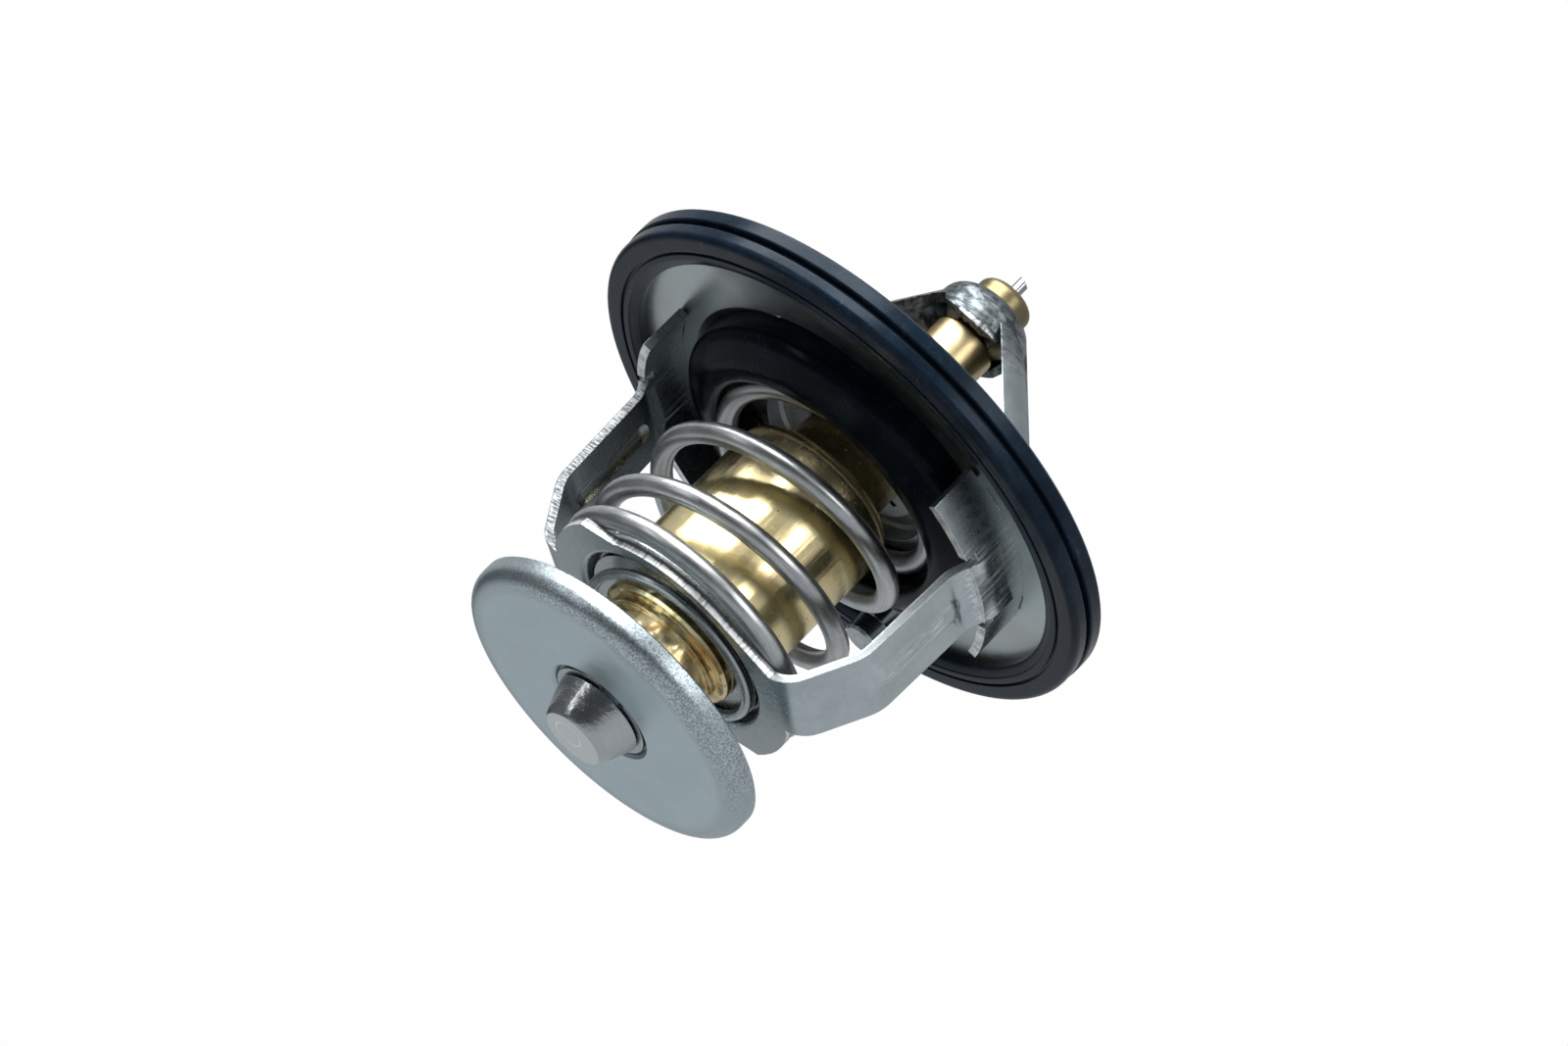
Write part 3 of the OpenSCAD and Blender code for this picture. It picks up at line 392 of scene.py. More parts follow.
def sheared(look, light, roughness, normal):
    """The frame's cut edges: striated where the punch sheared them, with a burr on the arms' inner side, and
    painted shade on its flat faces, inner faces and the arms' cut faces.
    """
    x, y, z = look.split(look.place())
    nx, ny, nz = look.split(look.facing())
    far = look.magnitude(x)

    # Depth across the sheet from its middle surface, outwards, along the arm, the knee and the crown
    over_knee = look.minus(z, KNEE_Z)
    slope = (ARM_LOW - ARM_KNEE) / (ARM_LOW_Z - KNEE_Z)
    low = look.minus(far, look.plus(ARM_KNEE, look.times(over_knee, slope)))
    run = math.hypot(ARM_BEND - ARM_KNEE, CROWN_MID - KNEE_Z)
    out_x, out_z = (CROWN_MID - KNEE_Z) / run, (ARM_KNEE - ARM_BEND) / run
    high = look.plus(look.times(look.minus(far, ARM_KNEE), out_x), look.times(over_knee, out_z))
    depth = look.larger(look.larger(low, high), look.minus(z, CROWN_MID))

    # The cut faces: sides of the arms, edge of the crown's ring and tops of the feet
    side = look.times(look.ranged(look.magnitude(ny), 0.80, 0.92), look.ranged(far, *BESIDE_RING))
    rim = look.fading(look.magnitude(nz), 0.35, 0.5)
    rim = look.times(rim, look.ranged(z, CROWN_MID - 0.55, CROWN_MID - 0.45))
    rim = look.times(rim, look.ranged(radius_of(look), *RING_EDGE))
    rim = look.times(rim, look.fading(far, *ARM_ROOTS))
    top = look.ranged(look.magnitude(nz), 0.7, 0.9)
    top = look.times(top, look.fading(z, FOOT_TOP + 0.5, FOOT_TOP + 0.9))
    cut = look.larger(look.larger(side, rim), top)

    # Lines left by the punch, bright and dark
    along = look.join(look.times(x, 0.8), look.times(y, 0.8), look.times(z, 4.5))
    around = look.stretched(look.place(), (3.6, 3.6, 0.3))
    lines = look.blend_value(rim, look.noise(along, 1.0, 3.0, 0.7), look.noise(around, 1.0, 3.0, 0.7))
    tone = look.mix(look.ranged(lines, 0.34, 0.60), CUT_GROOVE, FRESH_CUT)
    # The near arm's cut face painted mid-grey, as shade of its rolled-over edge
    near_cut = look.times(look.ranged(x, *NEAR_ARM), side)
    tone = look.cover(tone, near_cut, 0.85, NEAR_CUT_SHADE)
    burr = look.times(near_cut, look.fading(depth, -0.36, -0.26))
    tone = look.mix(burr, tone, FRESH_CUT)
    break_line = look.plus(depth, look.swing(lines, 0.5))
    # The far arm's cut face painted dark, as shade that holds back the lamp's highlight, with the punch lines
    # in it
    shaded_far_cut = look.times(look.ranged(x, *FAR_ARM), side)
    rough_half = look.times(look.ranged(x, *FAR_ARM), look.fading(break_line, 0.02, 0.10))
    tone = look.mix(look.times(rough_half, side), tone, ROUGH_CUT)
    shaded_far_tone = look.mix(look.ranged(lines, 0.42, 0.56), SHADED_FAR_CUT_DARK, SHADED_FAR_CUT_LIGHT)
    tone = look.cover(tone, shaded_far_cut, 0.92, shaded_far_tone)
    tone = look.mix(look.times(rim, look.ranged(lines, 0.42, 0.50, 0.0, 0.9)), tone, RING_CUT)
    torn_low = look.times(rim, look.fading(break_line, -0.16, -0.06))
    tone = look.cover(tone, torn_low, 0.85, RING_TORN)

    # Painted shade on the flat faces and on the arms' inner faces, standing for dark reflections, and then
    # the cut faces over them
    light = look.cover(light, look.ranged(nz, 0.90, 0.97), 0.75, FLAT_FACE_SHADE)
    inward = look.times(nx, look.maths("SIGN", x))
    inner_shade = look.times(look.fading(inward, -0.55, -0.35), look.ranged(z, 7.5, CROWN_MID, 1.0, 0.5))
    light = look.cover(light, inner_shade, 0.85, INNER_FACE_SHADE)
    light = look.mix(cut, light, tone)
    roughness = look.blend_value(cut, roughness, look.ranged(lines, 0.3, 0.7, 0.34, 0.52))
    normal = look.bump(look.times(cut, lines), 0.05 * MM, 0.8, normal)

    # The outer face of the arms, chafed in streaks below the knee
    streak = look.noise(look.stretched(look.place(), (3.0, 3.0, 0.25)), 1.0, 3.0, 0.7)
    chafe = look.times(look.ranged(depth, 0.60, 0.88), look.ranged(streak, 0.50, 0.60))
    chafe = look.times(chafe, look.fading(z, KNEE_Z - 1.0, KNEE_Z))
    light = look.cover(light, chafe, 0.8, CHAFED)
    return light, look.blend_value(chafe, roughness, 0.45), normal


def rolled(look, light, roughness, normal):
    """The disc's rolled rim, where the sheet was stretched: coarser grain than on its face, with its specks
    painted dark as reflection and light as glints on one side.
    """
    rim = look.ranged(radius_of(look), 13.6, 14.8, smooth=True)
    speck = look.noise(look.place(), 5.6, 3.0, 0.72)
    # Toward one side of the rim the grain is also painted as dark reflection and light glints
    lean = look.dot(look.place(), (-0.58, -0.81, 0.0))
    grain_and_glint_side = look.times(rim, look.ranged(lean, 3.0, 12.0, 0.12, 1.0))
    light = look.cover(light, rim, 0.45, ROLLED_BASE)
    light = look.mix(look.times(grain_and_glint_side, look.ranged(speck, 0.50, 0.60, 0.0, 0.80)), light, ROLLED_GRAIN_SHADE)
    light = look.mix(look.times(grain_and_glint_side, look.ranged(speck, 0.40, 0.50, 0.6, 0.0)), light, ROLLED_GRAIN_GLINT)
    normal = look.bump(look.times(grain_and_glint_side, speck), 0.020 * MM, 1.0, normal)
    wave = look.noise(look.place(), 0.16, 1.0, 0.4)
    return light, look.blend_value(rim, roughness, 0.34), look.bump(wave, 0.30 * MM, 1.0, normal)


def drawn_cup(look, light, roughness, normal):
    """The cup's side after drawing and crimping: long flats and lines along the axis, with pits."""
    v, _ = grain_place(look, "axial")
    flats = look.noise(v, 0.85, 1.0, 0.4)
    lines = look.noise(v, 3.4, 2.0, 0.6)
    normal = look.bump(look.plus(flats, look.times(lines, 0.16)), 0.08 * MM, 1.0, normal)
    heel = look.ranged(look.split(look.place())[2], CUP_SEAT_Z + 0.4, CUP_SEAT_Z + 1.0)
    stain = look.ranged(look.noise(look.place(), 0.55, 2.0, 0.5), 0.38, 0.60)
    light = look.cover(light, heel, 0.75, look.mix(stain, HEEL_DEEP, HEEL_PALE))
    knock = look.noise(look.place(), 0.45, 1.0, 0.4)
    normal = look.bump(look.times(heel, knock), 0.35 * MM, 1.0, normal)
    cell = look.node("ShaderNodeTexVoronoi", Vector=look.place(), Scale=1.1)
    pit = look.fading(cell.outputs["Distance"], 0.03, 0.10)
    pit = look.times(pit, look.ranged(look.split(cell.outputs["Color"])[1], 0.45, 0.6))
    light = look.cover(light, pit, 0.7, BRASS_PIT)
    return light, roughness, look.bump(look.minus(0.0, pit), 0.05 * MM, 1.0, normal)


def turned_end(look, light, roughness, normal):
    """The nose of the stem: tool marks round the cone, and a faint circle on its end."""
    x, y, z = look.split(look.place())
    circle_x, circle_y, circle_r = 0.5, -0.3, 1.45
    off = look.maths("SQRT", look.plus(look.maths("POWER", look.minus(x, circle_x), 2.0),
                                       look.maths("POWER", look.minus(y, circle_y), 2.0)))
    ring = look.fading(look.magnitude(look.minus(off, circle_r)), 0.06, 0.14)
    end = look.ranged(look.split(look.facing())[2], 0.9, 0.95)
    ring = look.times(ring, end)
    light = look.cover(light, end, 0.6, NOSE_END)
    light = look.cover(light, ring, 0.9, NOSE_RING)
    tool = look.noise(look.join(look.times(x, 0.15), look.times(y, 0.15), z), 4.0, 3.0, 0.7)
    nick = look.noise(look.place(), 0.55, 3.0, 0.6)
    normal = look.bump(tool, 0.032 * MM, 1.0, normal)
    return light, roughness, look.bump(nick, 0.10 * MM, 1.0, look.bump(ring, 0.02 * MM, 1.0, normal))


def stamped(look, light, roughness, normal):
    """The bridge: a ragged shear line round its dome, the dome painted dark in clouds as shade, a bright lip
    and small dents.
    """
    z = look.split(look.place())[2]
    ragged = look.noise(look.stretched(look.place(), (1.0, 1.0, 0.35)), 1.5, 3.0, 0.7)
    line = look.plus(look.minus(z, BRIDGE_Z + 3.4), look.times(ragged, -0.9))
    torn = look.times(look.ranged(line, -0.1, 0.1), look.ranged(radius_of(look), 8.2, 7.8))
    light = look.cover(light, torn, 0.6, TORN_DOME)
    normal = look.bump(look.times(torn, ragged), 0.08 * MM, 1.0, normal)
    # The dome painted dark in clouds, as shade that dims its highlight
    dome = look.ranged(radius_of(look), 8.6, 7.0)
    dome_shade_cloud = look.noise(look.stretched(look.place(), (1.0, 1.0, 2.2)), 0.6, 3.0, 0.65, 0.6)
    light = look.mix(look.times(dome, look.ranged(dome_shade_cloud, 0.40, 0.60, 0.45, 0.95)), light, DOME_PAINTED_SHADE)
    roughness = look.blend_value(dome, roughness, look.ranged(dome_shade_cloud, 0.35, 0.65, 0.34, 0.50))
    lip = look.ranged(look.plus(z, look.swing(ragged, 1.2)), BRIDGE_Z + 3.9, BRIDGE_Z + 4.15)
    lip = look.times(lip, look.ranged(radius_of(look), 6.2, 5.6))
    light = look.mix(look.times(lip, look.ranged(ragged, 0.42, 0.54)), light, BRIGHT_LIP)
    buckle = look.noise(look.place(), 0.42, 2.0, 0.5)
    return light, roughness, look.bump(buckle, 0.22 * MM, 1.0, normal)


def plate_shade(look, light, roughness, normal):
    """The plate: painted shade on one side, between the feet, standing for the dark that it reflects there.
    """
    lean = look.dot(look.place(), (-0.45, -0.89, 0.0))
    cloud = look.noise(look.place(), 0.3, 2.0, 0.5)
    # Painted shade, strongest on one side of the plate
    painted_shade_side = look.ranged(look.plus(lean, look.times(cloud, 3.0)), 13.5, 20.0)
    return look.cover(light, painted_shade_side, 0.85, PLATE_PAINTED_SHADE), roughness, normal


def rubber(name, colour, rough, scuff=0.3, gloss=0.22):
    """Rubber with turned marks, dust in patches and a weak bluish shine."""
    look = Look(name)
    v, r = grain_place(look, "turned")
    drag = look.noise(v, 5.0, 2.0, 0.5, 0.0, r)
    cloud = look.noise(look.place(), 0.35, 3.0, 0.6)
    fine = look.noise(look.place(), 9.0, 3.0, 0.6)
    marks = scratches(look, (0.9, 2.2), 1.6, 0.010)
    tone = look.mix(look.ranged(cloud, 0.35, 0.68), shade(colour, 0.8), shade(colour, 1.5))
    dust = look.times(look.ranged(drag, 0.56, 0.72), look.ranged(cloud, 0.40, 0.62))
    tone = look.cover(tone, dust, scuff * 0.25, RUBBER_DUST)
    tone = look.cover(tone, marks, scuff * 0.5, RUBBER_MARK)
    roughness = look.plus(look.plus(rough, look.swing(cloud, 0.16)), look.swing(drag, 0.10))
    height = look.plus(look.times(drag, 0.7), look.times(fine, 0.3))
    normal = look.bump(height, 0.010 * MM, 1.0, look.rounded(0.20 * MM))
    return look.finish(tone, roughness, normal, Specular_IOR_Level=gloss, Specular_Tint=RUBBER_SHEEN)


def plain_soft(name, colour, rough, scale):
    """Wax or plastic with faint clouds."""
    look = Look(name)
    cloud = look.noise(look.place(), scale, 3.0, 0.6)
    fine = look.noise(look.place(), scale * 9.0, 2.0, 0.5)
    tone = look.mix(cloud, shade(colour, 0.86), shade(colour, 1.08))
    return look.finish(tone, look.plus(rough, look.swing(fine, 0.12)), look.bump(fine, 0.01 * MM))


def wire(name, colour, rough):
    """Drawn wire: the marks run along it, by the piece's own U along and V round the wire."""
    look = Look(name)
    uv = look.tree.nodes.new("ShaderNodeUVMap")
    uv.uv_map = WIRE_UV
    u, v, _ = look.split(uv.outputs[0])
    turn = look.times(v, 2.0 * math.pi)
    cos, sin = look.maths("COSINE", turn), look.maths("SINE", turn)
    lines = look.noise(look.join(cos, sin, look.times(u, 0.05)), 6.0, 3.0, 0.65)
    broad = look.noise(look.join(cos, sin, look.times(u, 0.14)), 1.6, 2.0, 0.5)
    patch = look.noise(look.place(), 0.6, 3.0, 0.6)
    pits = look.noise(look.place(), 6.0, 3.0, 0.6)
    tone = look.plus(look.times(lines, 0.4), look.plus(look.times(patch, 0.25), look.times(broad, 0.35)))
    light = look.mix(look.ranged(tone, 0.38, 0.62), shade(colour, 0.74), shade(colour, 1.18))
    light = look.mix(look.ranged(pits, 0.62, 0.72, 0.0, 0.5), light, shade(colour, 0.45))
    roughness = look.plus(look.plus(rough, look.swing(patch, 0.20)), look.swing(lines, 0.20))
    height = look.plus(look.times(lines, 0.7), look.times(broad, 0.3))
    return look.finish(light, roughness, look.bump(height, 0.009 * MM), Metallic=1.0)


# Looks of each piece

looks = {
    "flange_plate": metal("plate satin", (0.49, 0.555, 0.56), 0.34, "x", grain=0.7, grain_scale=7.0,
                          dents=0.01, dent_scale=0.25, specks=0.15, edge=0.3, edge_radius=0.10,
                          tint=(0.43, 0.42, 0.38), more=plate_shade),
    "rim_seal": rubber("rim rubber", (0.006, 0.013, 0.024), 0.23, scuff=0.5, gloss=0.14),
    "upper_bridge": metal("bridge steel", (0.27, 0.31, 0.325), 0.34, "x", grain=0.6, grain_scale=6.0,
                          blotch=0.20, dents=0.03, dent_scale=0.45, specks=0.2, scratch=0.8, edge=0.6,
                          edge_radius=0.16, more=stamped),
    "bridge_bush": metal("bush brass", (0.20, 0.165, 0.09), 0.34, "turned", grain_scale=7.0, blotch=0.25,
                         dents=0.01, dent_scale=0.7, specks=0.3, scratch=0.4, edge=0.2,
                         wear_and_glint=(0.72, 0.62, 0.40)),
    "piston": metal("ground pin", (0.36, 0.37, 0.38), 0.24, "turned", grain=0.8, grain_scale=10.0,
                    blotch=0.06, scratch=0.2, edge=0.3, edge_radius=0.08),
    "lower_frame": metal("frame steel", STEEL, 0.28, "z", grain=0.5, grain_scale=5.0, blotch=0.26,
                         dents=0.02, dent_scale=0.4, specks=0.15, scratch=0.9, edge=0.35, edge_radius=0.14,
                         more=sheared),
    "valve_disc": metal("valve steel", (0.52, 0.54, 0.55), 0.30, "turned", grain=0.8, grain_scale=7.0,
                        blotch=0.12, dents=0.01, dent_scale=0.4, specks=0.1, scratch=0.4, edge=0.4,
                        edge_radius=0.10),
    "valve_rubber": rubber("valve rubber", (0.003, 0.005, 0.008), 0.20, scuff=0.35, gloss=0.08),
    "valve_retainer": metal("retainer steel", (0.34, 0.37, 0.38), 0.30, "turned", grain=0.8,
                            grain_scale=8.0, blotch=0.2, dents=0.02, dent_scale=0.6, specks=0.2,
                            scratch=0.4, edge_radius=0.10),
    "wax_cup": metal("cup brass", (0.96, 0.82, 0.47), 0.25, "axial", grain=0.6, grain_scale=6.0,
                     blotch=0.12, dents=0.015, dent_scale=0.6, specks=0.20, scratch=0.7, edge=0.20,
                     edge_radius=0.18, tint=(0.66, 0.49, 0.22), more=drawn_cup, wear_and_glint=BRASS_WEAR_AND_GLINT),
    "guide_body": metal("guide brass", (0.56, 0.45, 0.25), 0.36, "axial", grain_scale=6.0, blotch=0.16,
                        dents=0.02, specks=0.1, scratch=0.4, edge=0.25, wear_and_glint=BRASS_WEAR_AND_GLINT),
    "rubber_sleeve": rubber("sleeve rubber", (0.010, 0.010, 0.012), 0.45, scuff=0.1),
    "wax_charge": plain_soft("wax", (0.75, 0.68, 0.45), 0.55, scale=0.5),
    "back_up_washer": plain_soft("white plastic", (0.85, 0.85, 0.82), 0.45, scale=0.8),
    "wiper_seal": rubber("wiper rubber", (0.012, 0.012, 0.014), 0.40, scuff=0.1),
    "bypass_stem": metal("stem steel", (0.52, 0.55, 0.56), 0.20, "turned", grain=1.2, dents=0.01,
                         specks=0.15, more=turned_end),
    "snap_ring": metal("ring steel", (0.46, 0.48, 0.49), 0.26, "turned", grain=0.8, grain_scale=8.0,
                       specks=0.2, scratch=0.4, edge=0.6, edge_radius=0.08),
    "spring_seat": metal("seat steel", (0.44, 0.46, 0.47), 0.28, "turned", grain=0.8, grain_scale=8.0,
                         blotch=0.12, dents=0.01, specks=0.1, scratch=0.3, edge=0.4, edge_radius=0.08),
    "bypass_disc": metal("disc satin", (0.535, 0.640, 0.680), 0.36, "x", grain=0.6, grain_scale=10.0,
                         blotch=0.12, dents=0.012, dent_scale=0.18, specks=0.40, scratch=0.60, edge=0.25,
                         more=rolled),
    "jiggle_pin": metal("jiggle steel", (0.50, 0.53, 0.55), 0.24, "z", grain=0.8, grain_scale=8.0,
                        dents=0.01, specks=0.1, scratch=0.3, edge_radius=0.08),
    "jiggle_weight": metal("jiggle weight steel", (0.44, 0.48, 0.50), 0.26, "z", grain=0.8, grain_scale=8.0,
                           blotch=0.12, dents=0.01, specks=0.1, scratch=0.3, edge_radius=0.08),
}
spring_wire = wire("spring wire", (0.54, 0.56, 0.565), 0.33)
bypass_wire = wire("bypass wire", (0.46, 0.475, 0.48), 0.27)


# CAD surfaces shaded smooth over shallow angles, with flats kept flat

WELD_WITHIN = 0.0008
SHARP_FROM = 33.0


def smooth_group():
    group = bpy.data.node_groups.new("smooth shading", "GeometryNodeTree")
    group.interface.new_socket("Geometry", in_out="INPUT", socket_type="NodeSocketGeometry")
    group.interface.new_socket("Geometry", in_out="OUTPUT", socket_type="NodeSocketGeometry")
    make = group.nodes.new
    start, end = make("NodeGroupInput"), make("NodeGroupOutput")
    weld = make("GeometryNodeMergeByDistance")
    weld.inputs["Distance"].default_value = WELD_WITHIN * MM
    drop = make("GeometryNodeRemoveAttribute")
    drop.inputs["Name"].default_value = "custom_normal"
    soft = make("GeometryNodeSetShadeSmooth")
    soft.domain = "FACE"
    angle = make("GeometryNodeInputMeshEdgeAngle")
    steep = make("FunctionNodeCompare")
    steep.data_type = "FLOAT"
    steep.operation = "GREATER_THAN"
    steep.inputs[1].default_value = math.radians(SHARP_FROM)
    keep = make("GeometryNodeStoreNamedAttribute")
    keep.data_type = "BOOLEAN"
    keep.domain = "EDGE"
    keep.inputs["Name"].default_value = "sharp_edge"
    link = group.links.new
    link(start.outputs[0], weld.inputs["Geometry"])
    link(weld.outputs["Geometry"], drop.inputs["Geometry"])
    link(drop.outputs["Geometry"], soft.inputs["Geometry"])
    link(soft.outputs["Geometry"], keep.inputs["Geometry"])
    link(angle.outputs[0], steep.inputs[0])
    link(steep.outputs[0], keep.inputs["Value"])
    link(keep.outputs["Geometry"], end.inputs[0])
    return group


smooth = smooth_group()
for name, material in looks.items():
    node = nodes[name]
    if len(node.data.materials) == 0:
        node.data.materials.append(material)
    for material_slot in node.material_slots:
        material_slot.material = material
    soften = node.modifiers.new("smooth", "NODES")
    soften.node_group = smooth
    even = node.modifiers.new("flats", "WEIGHTED_NORMAL")
    even.keep_sharp = True


# Springs with round wire, in the places of the CAD ones

EASED_SHARE = 0.08
END_TAPER = (0.90, 0.97)


def eased(u, w):
    """A climb from nought to one that starts and ends gently, over the share w at each end."""
    if u <= 0:
        return 0.0
    if u >= 1:
        return 1.0
    if u < w:
        return u * u / (2 * w * (1 - w))
    if u > 1 - w:
        return 1 - (1 - u) * (1 - u) / (2 * w * (1 - w))
    return (u - w / 2) / (1 - w)


def tube(rings, sides):
    """Faces of a closed tube whose points run round each ring in turn."""
    faces = []
    for i in range(rings):
        for k in range(sides):
            p, q = i * sides + k, i * sides + (k + 1) % sides
            faces.append((p, p + sides, q + sides, q))
    faces.append(tuple(range(sides)))
    faces.append(tuple(rings * sides + sides - 1 - k for k in range(sides)))
    return faces


def unwrap(mesh, rings, sides, length):
    """U along the wire in millimetres and V round it."""
    layer = mesh.uv_layers.new(name=WIRE_UV)
    for polygon in mesh.polygons:
        polygon.use_smooth = len(polygon.vertices) == 4
        ks = [v % sides for v in polygon.vertices]
        wraps = max(ks) - min(ks) > sides / 2
        for loop, k in zip(polygon.loop_indices, ks):
            ring = mesh.loops[loop].vertex_index // sides
            kk = k + sides if wraps and k < sides / 2 else k
            layer.data[loop].uv = (length * ring / rings, kk / sides)


def coil(name, r_low, r_high, z_low, z_high, rise, closed, wire_r, start, bow=0.0, bow_angle=0.0, swoop=1.0,
         per_turn=72, sides=28):
    """The coil of part.scad in finer steps, with the share of the way up kept for each point."""
    total = rise + 2 * closed
    rings = round(total * per_turn)
    points, share = [], []
    for i in range(rings + 1):
        turn = total * i / rings - closed
        e = eased(turn / rise, EASED_SHARE)
        r = r_low + (r_high - r_low) * (1 - (1 - e) ** swoop)
        z = z_low + (z_high - z_low) * e
        a = math.radians(start + 360 * turn)
        side = bow * (1 - math.cos(2 * math.pi * e)) / 2
        cx, cy = side * math.cos(math.radians(bow_angle)), side * math.sin(math.radians(bow_angle))
        end = min(i, rings - i)
        slim = wire_r * (END_TAPER[end] if end < len(END_TAPER) else 1.0)
        for k in range(sides):
            b = 2 * math.pi * k / sides
            d = r + slim * math.cos(b)
            x, y = cx + d * math.cos(a), cy + d * math.sin(a)
            points.append((x * MM, y * MM, (z + slim * math.sin(b)) * MM))
            share.append(e)
    mesh = bpy.data.meshes.new(name)
    mesh.from_pydata(points, [], tube(rings, sides))
    mesh.update()
    unwrap(mesh, rings, sides, math.pi * (r_low + r_high) * total)
    piece = bpy.data.objects.new(name, mesh)
    bpy.context.scene.collection.objects.link(piece)
    return piece, share


def carry(piece, share, low_body, high_body, z_low, z_high, material, node):
    """The coil stretches between its two bodies, in place of its CAD node."""
    piece.data.materials.append(material)
    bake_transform(piece, high_body, low_body, start=(0, 0, z_high * MM), end=(0, 0, z_low * MM))
    weights = piece.data.attributes["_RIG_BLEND"]
    for i, e in enumerate(share):
        weights.data[i].value = 1.0 - e
    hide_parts(node)


low_z = RECESS_Z + WIRE_R + PRESS
high_z = CROWN_Z - FRAME_T - WIRE_R - PRESS
main_coil, share = coil("main_spring_wire", TOP_COIL_R, BOTTOM_COIL_R, low_z, high_z, rise=3.0, closed=0.55,
                        wire_r=WIRE_R, start=-161, bow=0.7, bow_angle=-35)
carry(main_coil, share, "element", "flange", low_z, high_z, spring_wire, "main_spring")

# The CAD solid has 2.6 free turns here, and the photo shows no more than one loop in front of the cup
low_z = CUP_SEAT_Z + SEAT_WASHER_T + THIN_WIRE_R + PRESS
high_z = DISC_Z - DISC_T - THIN_WIRE_R - PRESS
bypass_coil, share = coil("bypass_spring_wire", SEAT_WASHER_R - THIN_WIRE_R, HUB_BACK_R + THIN_WIRE_R + 0.1,
                          low_z, high_z, rise=1.5, closed=0.6, wire_r=THIN_WIRE_R, start=-125, swoop=2.5,
                          per_turn=64, sides=20)
carry(bypass_coil, share, "element", "bypass", low_z, high_z, bypass_wire, "bypass_spring")


# Camera at the photograph's place

CAMERA_AT = (-0.28329, -0.40483, 0.212085)
LENS_MM = 135.0
SENSOR_MM = 36.0

# Right, up and towards the camera
across = Vector((-0.73469, 0.18921, -0.6515))
above = Vector((0.42236, -0.62397, -0.6575))
towards = Vector((-0.53091, -0.75820, 0.3785))
turned = Matrix((across, above, towards)).transposed().to_quaternion().to_matrix().to_4x4()
lens = bpy.data.cameras.new("camera")
lens.lens = LENS_MM
lens.sensor_width = SENSOR_MM
lens.clip_start = 0.01
lens.clip_end = 50.0
camera = bpy.data.objects.new("camera", lens)
bpy.context.scene.collection.objects.link(camera)
camera.matrix_world = Matrix.Translation(CAMERA_AT) @ turned
bpy.context.scene.camera = camera


# Floor, soft lamps and the white room

FLOOR_Z = -0.30
FLOOR_HALF = 6.0
FLOOR_SEEN = 0.99
FLOOR_MIRRORED = 0.20


def floor_material():
    """White to the camera, dim in reflections, and pale to all other light."""
    look = Look("floor white")
    cloud = look.noise(look.place(), 0.004, 2.0)
    tone = look.mix(cloud, (0.80, 0.80, 0.80, 1.0), (0.84, 0.84, 0.84, 1.0))
    look.finish(tone, 0.9)
    path = look.tree.nodes.new("ShaderNodeLightPath")
    mirrored = look.larger(path.outputs["Is Glossy Ray"], path.outputs["Is Transmission Ray"])
    seen = look.larger(look.times(path.outputs["Is Camera Ray"], FLOOR_SEEN),
                       look.times(mirrored, FLOOR_MIRRORED))
    glow = look.tree.nodes.new("ShaderNodeEmission")
    glow.inputs["Color"].default_value = (1.0, 1.0, 1.0, 1.0)
    glow.inputs["Strength"].default_value = 1.0
    both = look.tree.nodes.new("ShaderNodeMixShader")
    look.link(seen, both.inputs[0])
    look.link(look.shader.outputs[0], both.inputs[1])
    look.link(glow.outputs[0], both.inputs[2])
    look.link(both.outputs[0], look.out.inputs["Surface"])
    return look.material


def floor(z, half):
    mesh = bpy.data.meshes.new("floor")
    corners = [(-half, -half, z), (half, -half, z), (half, half, z), (-half, half, z)]
    mesh.from_pydata(corners, [], [(0, 1, 2, 3)])
    piece = bpy.data.objects.new("floor", mesh)
    bpy.context.scene.collection.objects.link(piece)
    mesh.materials.append(floor_material())


LAMPS_AIM = Vector((0.0, 0.0, 0.005))

# Each lamp's place (right, up and towards the camera, in metres), width, height and power
LAMPS = {
    "soft_top": ((0.0, 0.36, 0.05), 0.40, 0.22, 2.2),
    "soft_front": ((-0.02, 0.33, 0.24), 0.12, 0.09, 0.26),
    "soft_left": ((-0.33, 0.23, 0.20), 0.06, 0.22, 0.10),
    "soft_right": ((0.33, 0.12, 0.28), 0.14, 0.24, 0.40),
}


def lamp(name, place, width, height, power):
    """A soft box given in the camera's frame, turned to the object."""
    spot = LAMPS_AIM + across * place[0] + above * place[1] + towards * place[2]
    light = bpy.data.lights.new(name, "AREA")
    light.shape = "RECTANGLE"
    light.size, light.size_y = width, height
    light.energy = power
    piece = bpy.data.objects.new(name, light)
    bpy.context.scene.collection.objects.link(piece)
    way = (spot - LAMPS_AIM).normalized()
    piece.matrix_world = Matrix.Translation(spot) @ way.to_track_quat("Z", "Y").to_matrix().to_4x4()


floor(FLOOR_Z, FLOOR_HALF)
for name, (place, width, height, power) in LAMPS.items():
    lamp(name, place, width, height, power)


# The room as the metal sees it: a pale table below, walls at the sides and a dark camera side

ROOM_COLOUR = (0.94, 0.97, 1.0, 1.0)
ROOM_BASE = 0.07

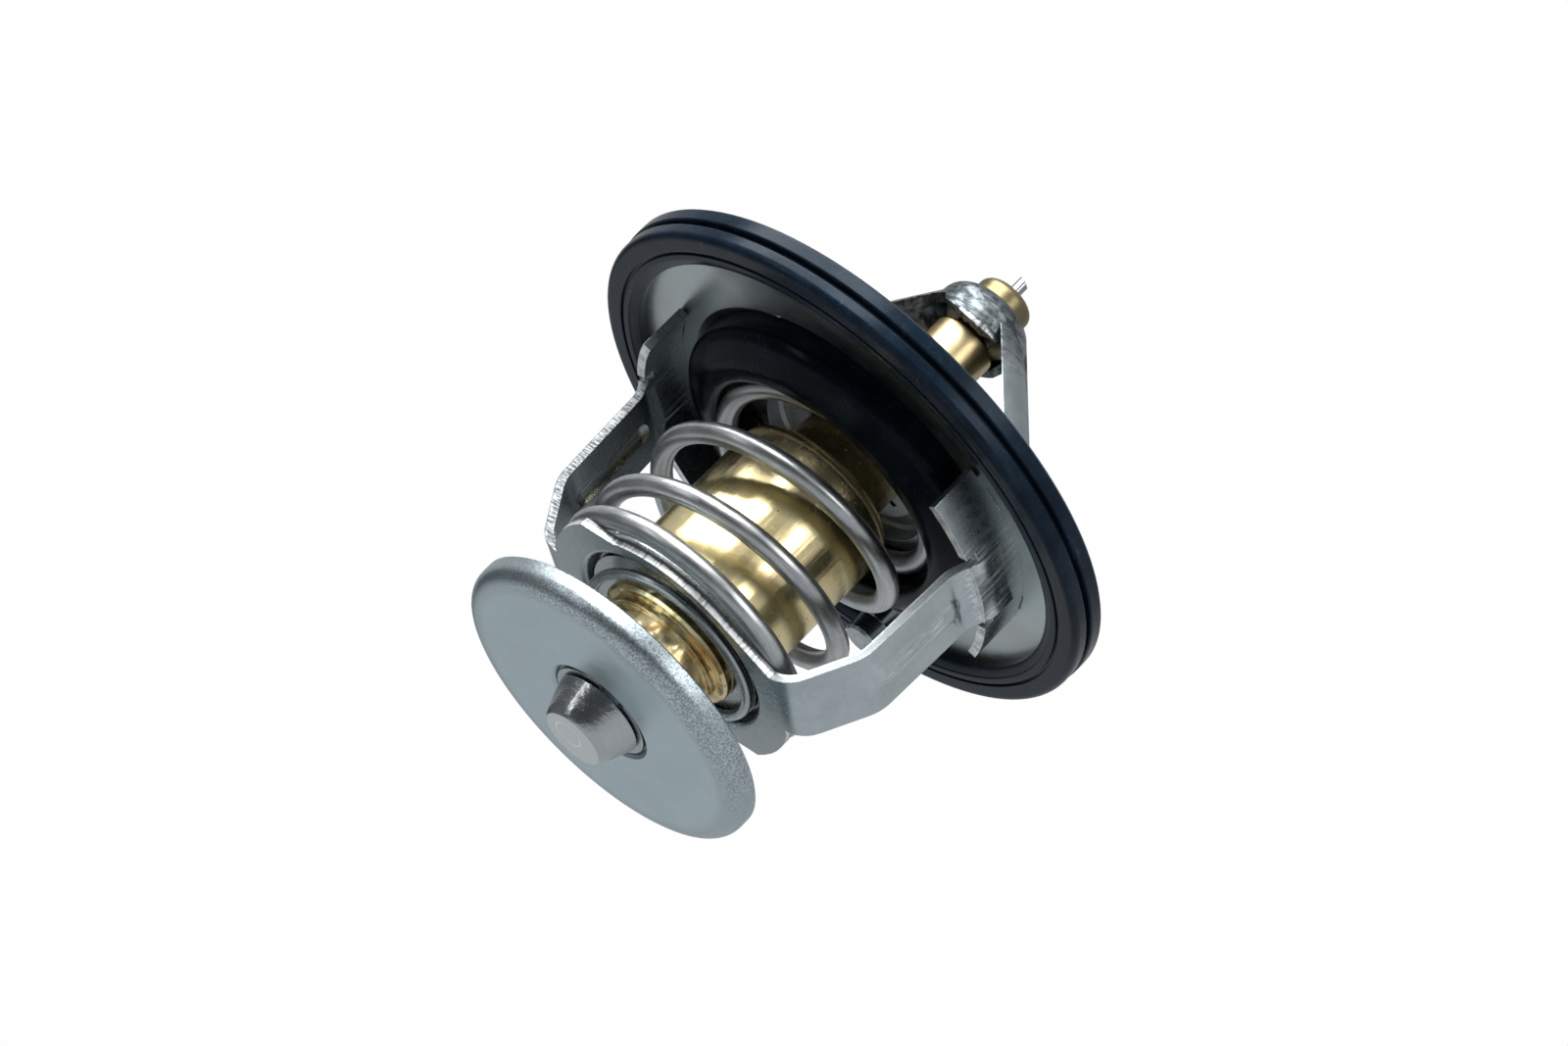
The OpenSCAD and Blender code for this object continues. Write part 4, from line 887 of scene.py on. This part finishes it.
# Each side's direction, where its light starts and where it is full (as cosines), and its strength
ROOM_SIDES = (
    (-above, 0.0, 0.42, 0.46),
    (-across, 0.60, 0.95, 0.10),
    (across, 0.50, 0.90, 0.20),
    (above, 0.60, 0.85, 0.80),
)

world = bpy.data.worlds.new("room")
bpy.context.scene.world = world
world.use_nodes = True
tree = world.node_tree
tree.nodes.clear()
out = tree.nodes.new("ShaderNodeOutputWorld")
path = tree.nodes.new("ShaderNodeLightPath")
seen = tree.nodes.new("ShaderNodeMath")
seen.operation = "MAXIMUM"
tree.links.new(path.outputs["Is Camera Ray"], seen.inputs[0])
tree.links.new(path.outputs["Is Transmission Ray"], seen.inputs[1])
room = tree.nodes.new("ShaderNodeTexCoord")


def lobe(way, low, high, strength):
    """Light from one side of the room, by how nearly a ray runs that way."""
    lift = tree.nodes.new("ShaderNodeVectorMath")
    lift.operation = "DOT_PRODUCT"
    lift.inputs[1].default_value = way
    tree.links.new(room.outputs["Generated"], lift.inputs[0])
    rise = tree.nodes.new("ShaderNodeMapRange")
    rise.interpolation_type = "SMOOTHSTEP"
    rise.inputs["From Min"].default_value = low
    rise.inputs["From Max"].default_value = high
    rise.inputs["To Min"].default_value = 0.0
    rise.inputs["To Max"].default_value = strength
    tree.links.new(lift.outputs["Value"], rise.inputs["Value"])
    return rise.outputs[0]


level = None
for side in ROOM_SIDES:
    add = tree.nodes.new("ShaderNodeMath")
    add.operation = "ADD"
    tree.links.new(lobe(*side), add.inputs[0])
    if level is None:
        add.inputs[1].default_value = ROOM_BASE
    else:
        tree.links.new(level, add.inputs[1])
    level = add.outputs[0]
around = tree.nodes.new("ShaderNodeBackground")
around.inputs["Color"].default_value = ROOM_COLOUR
tree.links.new(level, around.inputs["Strength"])
white = tree.nodes.new("ShaderNodeBackground")
white.inputs["Color"].default_value = (1.0, 1.0, 1.0, 1.0)
white.inputs["Strength"].default_value = 1.0
choose = tree.nodes.new("ShaderNodeMixShader")
tree.links.new(seen.outputs[0], choose.inputs[0])
tree.links.new(around.outputs[0], choose.inputs[1])
tree.links.new(white.outputs[0], choose.inputs[2])
tree.links.new(choose.outputs[0], out.inputs["Surface"])

bpy.context.scene.view_settings.view_transform = "Standard"
